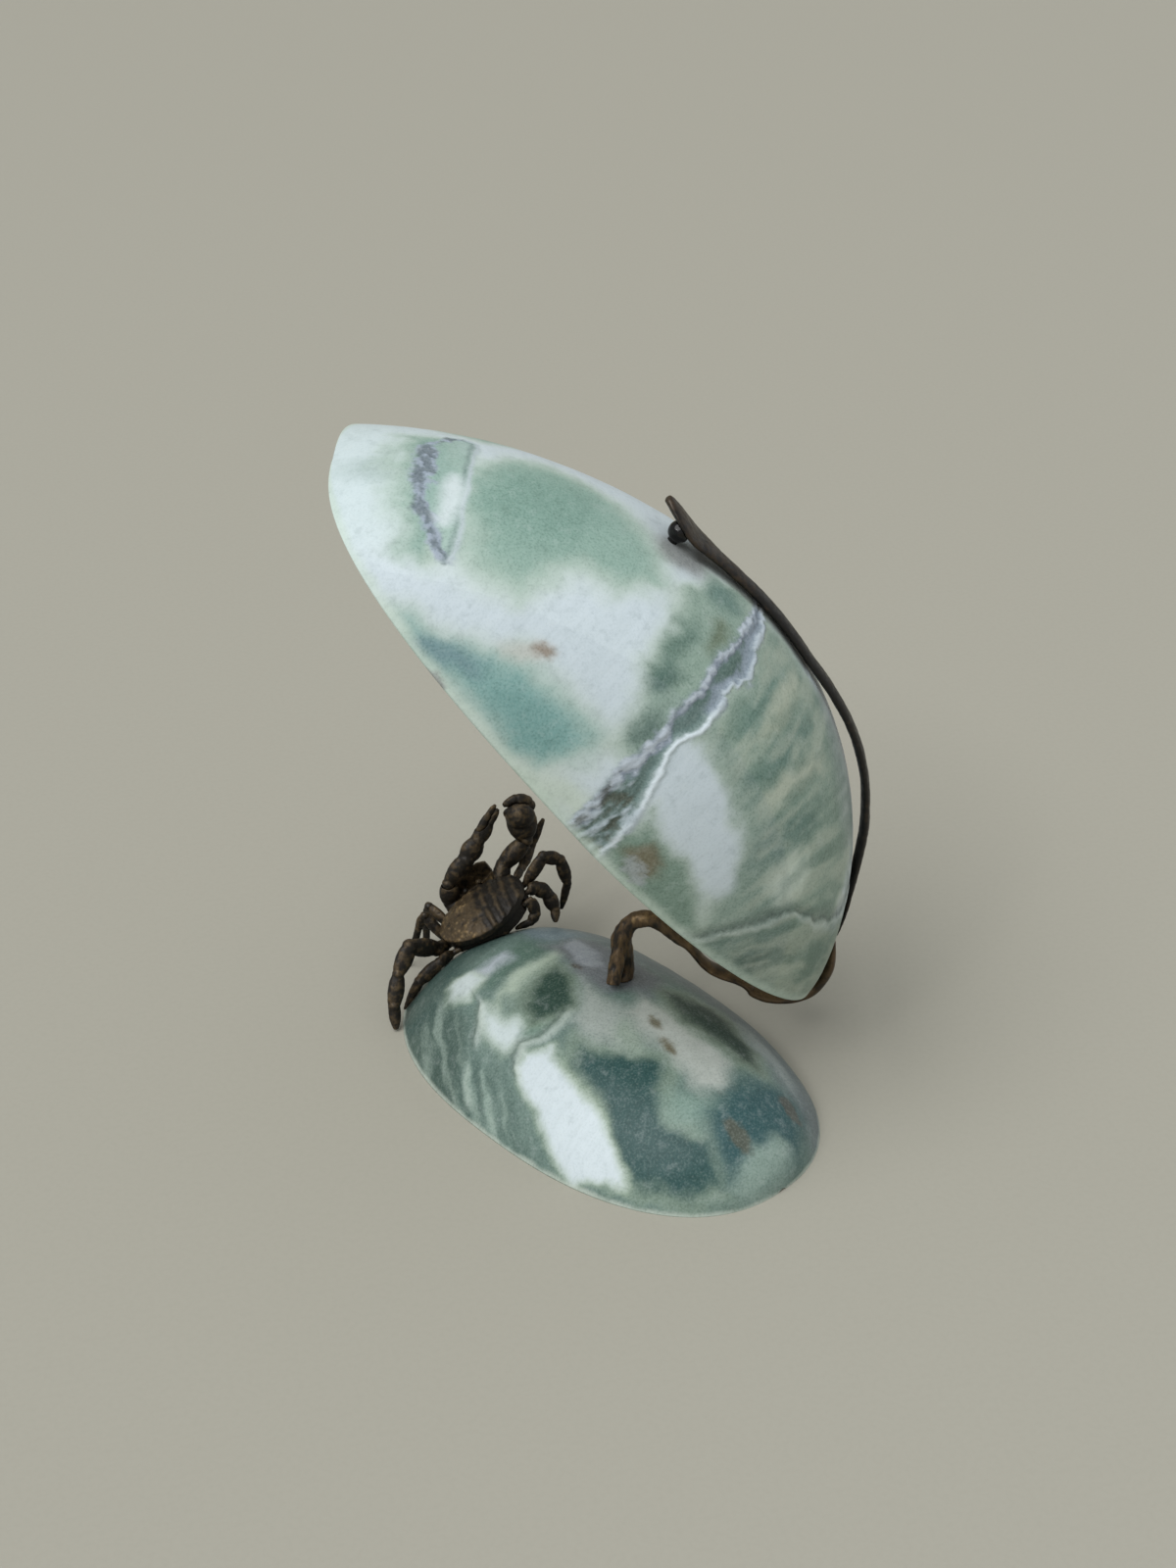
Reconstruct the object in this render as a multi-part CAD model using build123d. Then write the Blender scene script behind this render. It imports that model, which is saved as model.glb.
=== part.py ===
from build123d import *

import os
from dataclasses import dataclass
from math import asin, cos, degrees, radians, sin

# A bronze crab on a base of polished sea shell, under a larger shell carried by a bronze twig.
# Millimetres and degrees. +Z is up, the origin is the middle of the base shell's ground rim,
# and +X is to the right when the crab is seen from behind.

# Base shell
BASE_LENGTH = 96.4
BASE_WIDTH = 59.8
BASE_HEIGHT = 19.6
BASE_WALL = 2.6
BASE_HEADING = -62.1
# Upper shell, with its lower tip straight out from the stem's foot
UPPER_LENGTH = 140.0
UPPER_WIDTH = 73.6
UPPER_DEPTH = 40.6
UPPER_WALL = 2.8
UPPER_LEAN = 52.0
TIP_REACH = 36.5
TIP_HEIGHT = 18.6
# Both shells
TIP_WALL = 4.0
# Stem foot and its fixing under the base shell
FOOT_PLACE = (4.6, 3.2)
STEM_HEADING = -15.7
FOOT_DIAMETER = 4.0
FOOT_RISE = 4.2
TWIG_DIAMETER = 3.5
STUD_DIAMETER = 3.0
CRADLE_WIDTH = 5.2
CRADLE_THICKNESS = 2.3
# Back strap and its rivet
STRAP_WIDTH = 4.6
STRAP_THICKNESS = 1.7
STRAP_BOW = 2.0
LEAF_WIDTH = 8.6
LEAF_SHARE = 0.31
LEAF_LIFT = 5.0
RIVET_SHARE = 0.325
RIVET_TURN = 2.5
RIVET_DIAMETER = 2.0
RIVET_HEAD = 4.0
# Nuts and washers
NUT_HEIGHT = 2.0
WASHER_THICKNESS = 0.7
STEM_WASHER = 9.0
STEM_SPOT_DEPTH = 0.5
CRAB_WASHER = 6.0
CRAB_SPOT_DEPTH = 0.1
SPOT_MARGIN = 0.5
SPOT_REACH = 6.0
STUD_STANDOUT = 1.4
# Crab
CARAPACE_WIDTH = 19.6
CARAPACE_LENGTH = 13.6
CARAPACE_HEIGHT = 3.4
CARAPACE_OVERHANG = 0.5
UNDERSIDE_DEPTH = 4.4
BELLY_SLOPE = 2.4
CRAB_ROLL = 31.0
CRAB_STANCE = (-1.05, 1.4, 5.45)
CRAB_STUD_INSET = 10.7
CRAB_STUD_TURN = 8.0
CRAB_STUD_DIAMETER = 2.4
CRAB_STUD_REACH = 4.0
PEG_DIAMETER = 1.3
PEG_LENGTH = 2.2
PEG_START = 0.4
LEG_FLATNESS = 0.7
ARM_FLATNESS = 0.9
FACE_WIDTH = 10.0
FACE_REACH = 6.2
FACE_THICKNESS = 1.4
FACE_TOP = 4.2
EYE_SPACING = 3.4
EYE_DIAMETER = 1.3
EYE_STALK = 2.0
# Clearances: between a piece and its seat, and around a shank in its hole
SEAT_GAP = 0.15
HOLE_GAP = 0.15
FLOOR_GAP = 0.6

# Shape of a shell's end: power and taper of its plan, then power and taper of its profile
BASE_CRAB_END = (2.5, 0.5, 3.71, 1.26)
BASE_FAR_END = (2.4, 0.44, 1.99, 0.47)
UPPER_LOW_END = (1.6, 0.55, 2.23, 0.86)
UPPER_TOP_END = (2.97, 0.32, 1.73, 0.75)
SECTION_STEP = 12.0
SECTIONS_EACH_WAY = 7
RIM_TRIM = 2.0
# Steps from section to section that one loft of a bar takes
LOFT_SPAN = 4


@dataclass
class Pod:
    """A pod of shell along x, with arcs of a circle across it and its open rim on z = 0."""

    length: float
    half_width: float
    depth: float
    low_end: tuple
    high_end: tuple

    def section(self, x):
        """Half width and rise of the arc that crosses the pod at x."""
        share = x / (self.length / 2)
        end = self.low_end if share < 0 else self.high_end
        plan_power, plan_taper, profile_power, profile_taper = end
        plan = (1 - abs(share) ** plan_power) ** plan_taper
        profile = (1 - abs(share) ** profile_power) ** profile_taper
        return self.half_width * plan, self.depth * profile

    def arc_radius(self, x):
        half, rise = self.section(x)
        return (half ** 2 + rise ** 2) / (2 * rise)

    def point(self, x, turn):
        """Point of the outer face at x, turned by an angle from the pod's ridge."""
        radius = self.arc_radius(x)
        drop = radius * (1 - cos(radians(turn)))
        return Vector(x, radius * sin(radians(turn)), self.section(x)[1] - drop)

    def seat(self, x, turn):
        """Plane on the outer face: x runs along the pod, z stands off the face."""
        step = 0.01
        along = self.point(x + step, turn) - self.point(x - step, turn)
        across = self.point(x, turn + step) - self.point(x, turn - step)
        return Plane(origin=self.point(x, turn), x_dir=along, z_dir=along.cross(across))

    def inset(self, wall, tip_wall):
        length = self.length - 2 * tip_wall
        return Pod(length, self.half_width - wall, self.depth - wall, self.low_end, self.high_end)

    def solid(self, skirt):
        """The full pod, carried straight down below its rim by the skirt."""
        faces = []
        for count in range(-SECTIONS_EACH_WAY, SECTIONS_EACH_WAY + 1):
            x = self.length / 2 * sin(radians(count * SECTION_STEP))
            half, rise = self.section(x)
            arc = ThreePointArc((-half, 0), (0, rise), (half, 0))
            below = Polyline((half, 0), (half, -skirt), (-half, -skirt), (-half, 0))
            across = Plane(origin=(x, 0, 0), x_dir=(0, 1, 0), z_dir=(1, 0, 0))
            faces.append(across * make_face(arc + below))
        return loft(faces)

    def shell(self, wall):
        hollow = self.solid(RIM_TRIM) - self.inset(wall, TIP_WALL).solid(2 * RIM_TRIM)
        return split(hollow, bisect_by=Plane.XY, keep=Keep.TOP)


def heading(angle):
    return Vector(cos(radians(angle)), sin(radians(angle)), 0)


def rod(plane, start, end, diameter):
    """Round bar on a plane's z axis, from one height to another."""
    bar = Cylinder(diameter / 2, end - start, align=(Align.CENTER, Align.CENTER, Align.MIN))
    return plane.offset(start) * bar


def nut(plane, top, bore, height):
    """Six-sided nut below a height on a plane's z axis."""
    blank = extrude(RegularPolygon(bore * 0.95, 6), height)
    return plane.offset(top - height) * blank - rod(plane, top - 2 * height, top + height, bore)


def washer(plane, top, bore, outside):
    ring = rod(plane, top - WASHER_THICKNESS, top, outside)
    return ring - rod(plane, top - 2 * WASHER_THICKNESS, top + WASHER_THICKNESS, bore)


def bar_through(stations, across):
    """Bar through (place, width, thickness) stations, its width along one direction.

    It is made of short lofts end to end, because one loft through many sections wavers.
    """
    places = [place for place, width, thickness in stations]
    faces = []
    for count, (place, width, thickness) in enumerate(stations):
        before = places[max(count - 1, 0)]
        after = places[min(count + 1, len(places) - 1)]
        section = Plane(origin=place, x_dir=across, z_dir=after - before)
        faces.append(section * Ellipse(width / 2, thickness / 2))
    bar = loft(faces[:LOFT_SPAN + 1])
    for first in range(LOFT_SPAN, len(faces) - 1, LOFT_SPAN):
        bar += loft(faces[first:first + LOFT_SPAN + 1])
    return bar


# The two shells and their places

BASE = Plane(origin=(0, 0, 0), x_dir=heading(BASE_HEADING), z_dir=(0, 0, 1))
base_pod = Pod(BASE_LENGTH, BASE_WIDTH / 2, BASE_HEIGHT, BASE_CRAB_END, BASE_FAR_END)

# The stem, the upper shell's middle and the strap share one upright plane through the foot
stem_out = heading(STEM_HEADING)
stem_side = heading(STEM_HEADING + 90)
upright = Vector(0, 0, 1)
tip = Vector(*FOOT_PLACE, TIP_HEIGHT) + stem_out * TIP_REACH
lean_cos = cos(radians(UPPER_LEAN))
lean_sin = sin(radians(UPPER_LEAN))
upper_axis = upright * lean_sin - stem_out * lean_cos
upper_back = upright * lean_cos + stem_out * lean_sin
UPPER = Plane(origin=tip + upper_axis * (UPPER_LENGTH / 2), x_dir=upper_axis, z_dir=upper_back)
upper_pod = Pod(UPPER_LENGTH, UPPER_WIDTH / 2, UPPER_DEPTH, UPPER_LOW_END, UPPER_TOP_END)


def base_seat(x, y):
    """Plane on the base shell's outer face, over a point of the floor."""
    local = BASE.to_local_coords(Vector(x, y, 0))
    turn = degrees(asin(local.Y / base_pod.arc_radius(local.X)))
    return Plane(BASE * base_pod.seat(local.X, turn))


def back_plane(share, stand_off):
    """Plane over the ridge of the upper shell's back."""
    local = upper_pod.seat(share * UPPER_LENGTH / 2, 0)
    return Plane(UPPER * local).offset(stand_off)


# Back strap: it starts behind the stem's tongue, bows off the shell's back and ends as a leaf.
# Stations: share of the shell's half length, gap to the shell, width and thickness.

strap_stations = [
    (-0.905, SEAT_GAP, 0.4 * STRAP_WIDTH, 0.4 * STRAP_THICKNESS),
    (-0.87, SEAT_GAP, 0.7 * STRAP_WIDTH, 0.6 * STRAP_THICKNESS),
    (-0.80, SEAT_GAP, STRAP_WIDTH, 0.8 * STRAP_THICKNESS),
    (-0.70, 0.4 * STRAP_BOW, STRAP_WIDTH, STRAP_THICKNESS),
    (-0.60, 0.8 * STRAP_BOW, STRAP_WIDTH, STRAP_THICKNESS),
    (-0.50, STRAP_BOW, STRAP_WIDTH, STRAP_THICKNESS),
    (-0.40, 0.9 * STRAP_BOW, STRAP_WIDTH, STRAP_THICKNESS),
    (-0.28, 0.5 * STRAP_BOW, STRAP_WIDTH, STRAP_THICKNESS),
    (-0.16, SEAT_GAP, STRAP_WIDTH, STRAP_THICKNESS),
    (-0.06, SEAT_GAP, STRAP_WIDTH, STRAP_THICKNESS),
    (0.06, SEAT_GAP, STRAP_WIDTH, STRAP_THICKNESS),
    (LEAF_SHARE - 0.13, 0.10 * LEAF_LIFT, 1.1 * STRAP_WIDTH, STRAP_THICKNESS),
    (LEAF_SHARE - 0.06, 0.22 * LEAF_LIFT, 0.85 * LEAF_WIDTH, STRAP_THICKNESS),
    (LEAF_SHARE, 0.44 * LEAF_LIFT, LEAF_WIDTH, STRAP_THICKNESS),
    (LEAF_SHARE + 0.04, 0.72 * LEAF_LIFT, 0.75 * LEAF_WIDTH, STRAP_THICKNESS),
    (LEAF_SHARE + 0.075, LEAF_LIFT, 0.2 * LEAF_WIDTH, 0.8 * STRAP_THICKNESS),
]


strap_bar = bar_through(
    [(back_plane(share, gap + thickness / 2).origin, width, thickness)
     for share, gap, width, thickness in strap_stations],
    stem_side,
)


# Stem: a twig square to the base shell, bent over and flattened into a cradle for the upper shell's tip

FOOT = base_seat(*FOOT_PLACE).offset(SEAT_GAP)
foot = FOOT.origin


def stem_place(start, out, side, up):
    return start + stem_out * out + stem_side * side + upright * up


twig_stations = [
    ((-0.3, 0.0, 8.6), 1.2, 1.15),
    ((0.6, 0.0, 11.6), 1.0, 1.0),
    ((2.3, 0.0, 13.4), 0.95, 1.0),
    ((4.5, 0.0, 14.0), 0.95, 0.95),
    ((6.8, 0.0, 13.4), 0.95, 0.9),
    ((8.9, 0.0, 11.4), 0.95, 0.75),
    ((11.4, 0.0, 9.0), 0.95, 0.6),
    ((14.2, 0.0, 5.9), 1.0, 0.5),
    ((16.9, 0.0, 2.7), 1.1, 0.5),
]
cradle_stations = [
    ((-15.9, 0.0, 1.6), 0.85, 0.8),
    ((-11.5, 0.0, -1.5), 0.95, 0.9),
    ((-7.7, 0.0, -3.1), 1.0, 1.0),
    ((-3.6, 0.0, -3.1), 1.0, 1.0),
    ((-0.7, 0.0, -2.0), 1.0, 1.1),
    ((1.5, 0.0, 0.2), 1.0, 1.15),
    ((3.2, 0.0, 3.5), 0.95, 1.05),
    ((3.8, 0.0, 6.3), 0.85, 0.8),
    ((4.0, 0.0, 8.4), 0.6, 0.5),
    ((4.2, 0.0, 9.8), 0.3, 0.3),
]
stub_stations = [
    ((-0.4, -0.6, 8.4), 0.85, 0.85),
    ((-1.2, -2.6, 4.4), 0.9, 0.85),
    ((-1.8, -4.2, 1.4), 0.85, 0.75),
]


def twig(stations):
    size = TWIG_DIAMETER
    return [(stem_place(foot, *place), wide * size, thick * size) for place, wide, thick in stations]


twig_foot = [
    (foot, FOOT_DIAMETER, FOOT_DIAMETER),
    (FOOT.offset(FOOT_RISE).origin, TWIG_DIAMETER, TWIG_DIAMETER),
]
cradle = [
    (stem_place(tip, *place), wide * CRADLE_WIDTH, thick * CRADLE_THICKNESS)
    for place, wide, thick in cradle_stations
]
base_bed = BASE * base_pod.inset(-SEAT_GAP, -SEAT_GAP).solid(RIM_TRIM)
upper_full = upper_pod.inset(-SEAT_GAP, -SEAT_GAP).solid(RIM_TRIM)
upper_bed = UPPER * split(upper_full, bisect_by=Plane.XY.offset(-SEAT_GAP), keep=Keep.TOP)
stem_seat = -SEAT_GAP - BASE_WALL + STEM_SPOT_DEPTH
stem_nut_top = stem_seat - SEAT_GAP - WASHER_THICKNESS
stem_stud_bore = STUD_DIAMETER + 2 * HOLE_GAP
stem = bar_through(twig_foot + twig(twig_stations) + cradle, stem_side) - upper_bed
stem += bar_through(twig(stub_stations), stem_side) - base_bed
stem += rod(FOOT, stem_nut_top - NUT_HEIGHT - STUD_STANDOUT, STUD_DIAMETER / 2, STUD_DIAMETER)
stem_washer = washer(FOOT, stem_seat - SEAT_GAP, stem_stud_bore, STEM_WASHER)
stem_nut = nut(FOOT, stem_nut_top, stem_stud_bore, NUT_HEIGHT)

# Strap's rivet: its round head lies between the shell and the leaf, let into the leaf's edge,
# and its shank goes through the shell's wall and is clenched over a rove on the inside
RIVET_AXIS = Plane(UPPER * upper_pod.seat(RIVET_SHARE * UPPER_LENGTH / 2, RIVET_TURN))
head_middle = RIVET_AXIS.offset(SEAT_GAP + RIVET_HEAD / 2)
rivet_bore = RIVET_DIAMETER + 2 * HOLE_GAP
rove_top = -UPPER_WALL - 2 * SEAT_GAP
clench_top = rove_top - WASHER_THICKNESS - SEAT_GAP
clench_end = clench_top - RIVET_DIAMETER / 3
strap_rivet = head_middle * Sphere(RIVET_HEAD / 2)
strap_rivet += rod(RIVET_AXIS, clench_end, RIVET_HEAD / 2, RIVET_DIAMETER)
strap_rivet += rod(RIVET_AXIS, clench_end, clench_top, 1.5 * RIVET_DIAMETER)
rivet_rove = washer(RIVET_AXIS, rove_top, rivet_bore, RIVET_HEAD + 1)
back_strap = strap_bar - upper_bed - head_middle * Sphere(RIVET_HEAD / 2 + SEAT_GAP)

# Crab: placed over its stud on the sloping end of the base shell.
# Its own axes: x to its right, y to its front, z out of its back, the carapace's rim on z = 0.

stud_along = CRAB_STUD_INSET - BASE_LENGTH / 2
stud_seat = Plane(BASE * base_pod.seat(stud_along, CRAB_STUD_TURN))
crab_right = Vector(cos(radians(CRAB_ROLL)), 0, sin(radians(CRAB_ROLL)))
crab_up = Vector(-sin(radians(CRAB_ROLL)), 0, cos(radians(CRAB_ROLL)))
CRAB = Plane(origin=stud_seat.origin + Vector(*CRAB_STANCE), x_dir=crab_right, z_dir=crab_up)
side = CARAPACE_WIDTH / 2 - CARAPACE_OVERHANG
front = CARAPACE_LENGTH / 2 - CARAPACE_OVERHANG
root_level = -0.33 * UNDERSIDE_DEPTH
ledge_top = -0.22 * UNDERSIDE_DEPTH


def body_outline(grow):
    """Crab's plan, broadest at its front corners, with a straight front edge."""
    half = side + grow
    fore = front + grow
    front_right, rear_right = (0.62 * half, fore), (0.9 * half, -0.5 * fore)
    front_left, rear_left = (-0.62 * half, fore), (-0.9 * half, -0.5 * fore)
    edge = Polyline(front_left, front_right)
    edge += ThreePointArc(front_right, (0.98 * half, 0.42 * fore), rear_right)
    edge += ThreePointArc(rear_right, (0, -1.12 * fore), rear_left)
    edge += ThreePointArc(rear_left, (-0.98 * half, 0.42 * fore), front_left)
    return make_face(edge)


def limb(joints, widths, flatness):
    """Jointed limb: a swelling oval bar from joint to joint, thin from front to back, with knuckles."""
    whole = None
    for count in range(len(joints) - 1):
        run = joints[count + 1] - joints[count]
        near = Plane(origin=joints[count], x_dir=run.cross(Vector(0, 1, 0)), z_dir=run)
        begin, end = widths[count], widths[count + 1]
        shares = ((0, 0.8 * begin), (0.45, 0.58 * (begin + end)), (1, 0.8 * end))
        ovals = [near.offset(run.length * at) * Ellipse(w / 2, flatness * w / 2) for at, w in shares]
        whole = loft(ovals) if whole is None else whole + loft(ovals)
        if count:
            whole += Pos(joints[count]) * Sphere(0.42 * begin)
    return whole


def joints_from(root, reaches):
    """Root and joints of a limb, its joints given by how far each lies from the root."""
    return [Vector(*root)] + [Vector(*root) + Vector(*reach) for reach in reaches]


# Limbs of the body: the root's place on the body's edge, the peg's direction into the body,
# how far each joint lies from the root, and the width at root and joints
corner = (0.9 * side, 0.94 * front)
LIMBS = {
    "leg_right_1": (corner, (-1, -1, 0),
                    [(2.2, 3.4, -0.9), (6.4, 6.6, 0.4), (11.6, 7.8, 3.4)],
                    [1.7, 2.3, 2.3, 0.9]),
    "leg_right_2": ((side + 0.9, 2.6), (-1, 0, 0),
                    [(6.2, 1.3, 2.4), (8.5, 1.4, -0.8), (6.7, 1.4, -6.8), (2.2, 1.4, -11.6)],
                    [2.2, 2.8, 2.7, 2.2, 0.9]),
    "leg_right_3": ((side + 0.8, -0.2), (-1, 0, 0),
                    [(1.5, 1.1, -0.8), (2.6, 0.9, -3.8), (2.0, -0.4, -7.3), (0.6, -2.3, -8.7)],
                    [2.2, 3.0, 3.1, 2.5, 1.0]),
    "leg_right_4": ((side + 0.6, -3.0), (-1, 0, 0),
                    [(-1.0, -0.6, -3.3), (-2.8, -1.0, -4.0), (-6.2, -1.2, -3.1)],
                    [2.1, 2.4, 2.0, 0.9]),
    "leg_left_1": ((-corner[0], corner[1]), (1, -1, 0),
                   [(-1.5, 3.6, 4.0), (-5.0, 5.2, -1.0), (-8.5, 6.4, -7.0)],
                   [1.9, 2.2, 1.9, 0.8]),
    "leg_left_2": ((-side - 0.9, 2.6), (1, 0, 0),
                   [(-0.6, 2.4, 5.8), (-3.4, 3.0, 3.6), (-11.3, 4.6, -4.6)],
                   [1.9, 2.2, 1.9, 0.8]),
    "leg_left_3": ((-side - 0.6, -3.5), (1, 0, 0),
                   [(-2.6, -2.3, 1.6), (-8.1, -3.6, 1.4), (-14.3, -4.6, -2.2)],
                   [2.2, 2.8, 2.7, 1.0]),
    "leg_left_4": ((-side - 0.9, -0.4), (1, 0, 0),
                   [(-1.6, -2.2, 2.6), (-4.7, -5.6, 9.3), (-9.5, -8.6, 7.3),
                    (-13.8, -11.6, 3.4), (-16.2, -13.6, -0.3)],
                   [2.5, 3.8, 3.7, 3.0, 3.0, 1.2]),
    "claw_arm_left": ((-0.52 * side, front + 0.6), (0, -1, 0),
                      [(-0.8, 2.3, 2.0), (1.3, 2.1, 6.3)],
                      [3.0, 3.9, 3.6]),
    "claw_arm_right": ((0.52 * side, front + 0.6), (0, -1, 0),
                       [(3.0, 2.4, 2.4), (10.0, 3.1, 3.9)],
                       [2.6, 3.8, 3.4]),
}
# Hands and free fingers: the arm that carries them, reaches from its wrist, widths and flatness
HANDS = {
    "claw_hand_left": ("claw_arm_left",
                       [(0, 0, 0), (6.1, 0.8, 2.1), (10.3, 1.6, 3.9), (14.6, 2.3, 5.7), (17.6, 2.7, 6.9)],
                       [3.0, 4.4, 3.8, 2.6, 1.0], 0.7),
    "claw_finger_left": ("claw_arm_left",
                         [(11.4, 1.8, 5.4), (15.4, 2.5, 7.2), (17.7, 2.8, 8.0)],
                         [1.6, 1.6, 0.7], 0.8),
    "claw_hand_right": ("claw_arm_right",
                        [(0, 0, 0), (2.0, 1.5, 5.0), (0.8, 1.9, 6.6), (-0.7, 2.1, 7.1)],
                        [3.0, 7.4, 3.0, 1.0], 0.6),
    "claw_finger_right": ("claw_arm_right",
                          [(4.0, 2.3, 4.1), (4.8, 2.6, 6.2), (3.0, 2.8, 8.2), (0.2, 2.8, 8.5)],
                          [2.6, 2.8, 2.4, 1.0], 0.8),
}


def grown(widths):
    return [width + 2 * SEAT_GAP for width in widths]


dome = scale(Sphere(1), by=(0.56 * CARAPACE_WIDTH, 0.6 * CARAPACE_LENGTH, CARAPACE_HEIGHT))
carapace = extrude(body_outline(CARAPACE_OVERHANG), CARAPACE_HEIGHT) & dome
wall_depth = 0.6 * UNDERSIDE_DEPTH
underside = extrude(body_outline(0), -wall_depth)
belly_edge = Pos(0, 0, -wall_depth) * body_outline(0)
belly_flat = Pos(0, 0, -UNDERSIDE_DEPTH) * body_outline(-BELLY_SLOPE)
underside += loft([belly_edge, belly_flat], ruled=True)

crab = {}
wrists = {}
sockets = {}
for name, (place, inward, reaches, widths) in LIMBS.items():
    joints = joints_from((*place, root_level), reaches)
    flatness = ARM_FLATNESS if name.startswith("claw") else LEG_FLATNESS
    root = Plane(origin=joints[0], z_dir=inward)
    crab[name] = limb(joints, widths, flatness) + rod(root, -PEG_START, PEG_LENGTH, PEG_DIAMETER)
    first_bar = limb(joints[:2], grown(widths[:2]), 1.0)
    peg_hole = rod(root, -PEG_START, PEG_LENGTH + HOLE_GAP, PEG_DIAMETER + 2 * HOLE_GAP)
    sockets[name] = limb(joints, grown(widths), 1.0) + peg_hole
    underside -= peg_hole + first_bar
    carapace -= first_bar
    wrists[name] = joints[-1]

# Claws: a hand turns on a ball in the end of its arm, and the free finger is let into the hand
for name, (arm, reaches, widths, flatness) in HANDS.items():
    joints = [wrists[arm] + Vector(*reach) for reach in reaches]
    crab[name] = limb(joints, widths, flatness)
    if name.startswith("claw_hand"):
        ball = 0.45 * widths[0]
        crab[name] += Pos(joints[0]) * Sphere(ball)
        crab[arm] -= Pos(joints[0]) * Sphere(ball + SEAT_GAP)
        crab[arm] -= limb(joints[:2], grown(widths[:2]), 1.0)
    else:
        hand = name.replace("finger", "hand")
        crab[hand] -= limb(joints, grown(widths), 1.0)

# Face plate across the front of the crab, with the eyes on its ledge
plate_back = front + FACE_REACH - FACE_THICKNESS
face_profile = Polyline(
    (front, -0.4 * UNDERSIDE_DEPTH),
    (front, ledge_top),
    (plate_back, ledge_top),
    (plate_back, FACE_TOP),
    (front + FACE_REACH, 0.8 * FACE_TOP),
    (front + FACE_REACH, -0.5 * UNDERSIDE_DEPTH),
    close=True,
)
across_face = Plane(origin=(-FACE_WIDTH / 2, 0, 0), x_dir=(0, 1, 0), z_dir=(1, 0, 0))
face = extrude(across_face * make_face(face_profile), FACE_WIDTH)
crab["crab_face"] = face - sockets["claw_arm_left"] - sockets["claw_arm_right"]
eye_axis = Plane(origin=(EYE_SPACING / 2, (front + CARAPACE_OVERHANG + plate_back) / 2, ledge_top))
eye = rod(eye_axis, 0, EYE_STALK, EYE_DIAMETER / 2)
eye += eye_axis.offset(EYE_STALK) * Sphere(EYE_DIAMETER / 2)
crab["crab_carapace"] = carapace

# Crab's fixing: a stud square to the shell, with its washer and nut against a flat inside the shell
crab_seat = -BASE_WALL + CRAB_SPOT_DEPTH
crab_nut_top = crab_seat - SEAT_GAP - WASHER_THICKNESS
crab_stud_bore = CRAB_STUD_DIAMETER + 2 * HOLE_GAP
crab_stud = rod(stud_seat, crab_nut_top - NUT_HEIGHT - STUD_STANDOUT, CRAB_STUD_REACH, CRAB_STUD_DIAMETER)
crab_washer = washer(stud_seat, crab_seat - SEAT_GAP, crab_stud_bore, CRAB_WASHER)
crab_nut = nut(stud_seat, crab_nut_top, crab_stud_bore, NUT_HEIGHT)
stud_socket = rod(stud_seat, 0, CRAB_STUD_REACH + SEAT_GAP, crab_stud_bore)
crab["crab_underside"] = underside - CRAB.location.inverse() * stud_socket

# Shells, bored for the two studs and the rivet, with a flat spot for each washer
base_shell = BASE * base_pod.shell(BASE_WALL)
for axis, seat, bore, spot in (
    (FOOT, stem_seat, STUD_DIAMETER + 2 * HOLE_GAP, STEM_WASHER + 2 * SPOT_MARGIN),
    (stud_seat, crab_seat, crab_stud_bore, CRAB_WASHER + 2 * SPOT_MARGIN),
):
    base_shell -= rod(axis, -BASE_HEIGHT, BASE_WALL, bore)
    base_shell -= rod(axis, seat - SPOT_REACH, seat, spot)
upper_shell = UPPER * upper_pod.shell(UPPER_WALL)
upper_shell -= rod(RIVET_AXIS, -4 * UPPER_WALL, UPPER_WALL, rivet_bore)


def bedded(piece):
    """A crab's piece in place, fitted to the base shell under it and clear of the floor."""
    fitted = split(CRAB * piece - base_bed, bisect_by=Plane.XY.offset(FLOOR_GAP), keep=Keep.TOP)
    return fitted.solids().sort_by(SortBy.VOLUME)[-1]


nodes = {
    "base_shell": base_shell,
    "upper_shell": upper_shell,
    "stem": stem,
    "stem_washer": stem_washer,
    "stem_nut": stem_nut,
    "back_strap": back_strap,
    "strap_rivet": strap_rivet,
    "rivet_rove": rivet_rove,
    "crab_stud": crab_stud,
    "crab_washer": crab_washer,
    "crab_nut": crab_nut,
    "crab_eyes": Compound([CRAB * eye, CRAB * mirror(eye, Plane.YZ)]),
}
for name, piece in crab.items():
    nodes[name] = bedded(piece)

os.makedirs("parts", exist_ok=True)
for name, piece in nodes.items():
    export_step(piece, f"parts/{name}.step")
    top = piece.bounding_box().max.Z
    volume = sum(solid.volume for solid in piece.solids())
    print(f"{name:18} {len(piece.solids())} solid, {volume:9.1f} mm3, top {top:6.1f}")
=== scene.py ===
# %% [markdown]
# # A bronze crab, a bronze twig and two sea shells
#
# The ornament has two kinds of surface: polished sea shell, whose colour lies in bands and clouds
# that follow its growth, and cast bronze with a dark patina. The solid model is the fixed frame.
# This lesson dresses it: the shells are modelled again as fine sheets, so that their growth scars
# can be cut into them, and each bronze piece gets an even skin that can be worked like wax.

import math

import bmesh
import bpy
import numpy as np
from mathutils import Matrix, Vector, noise


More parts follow.
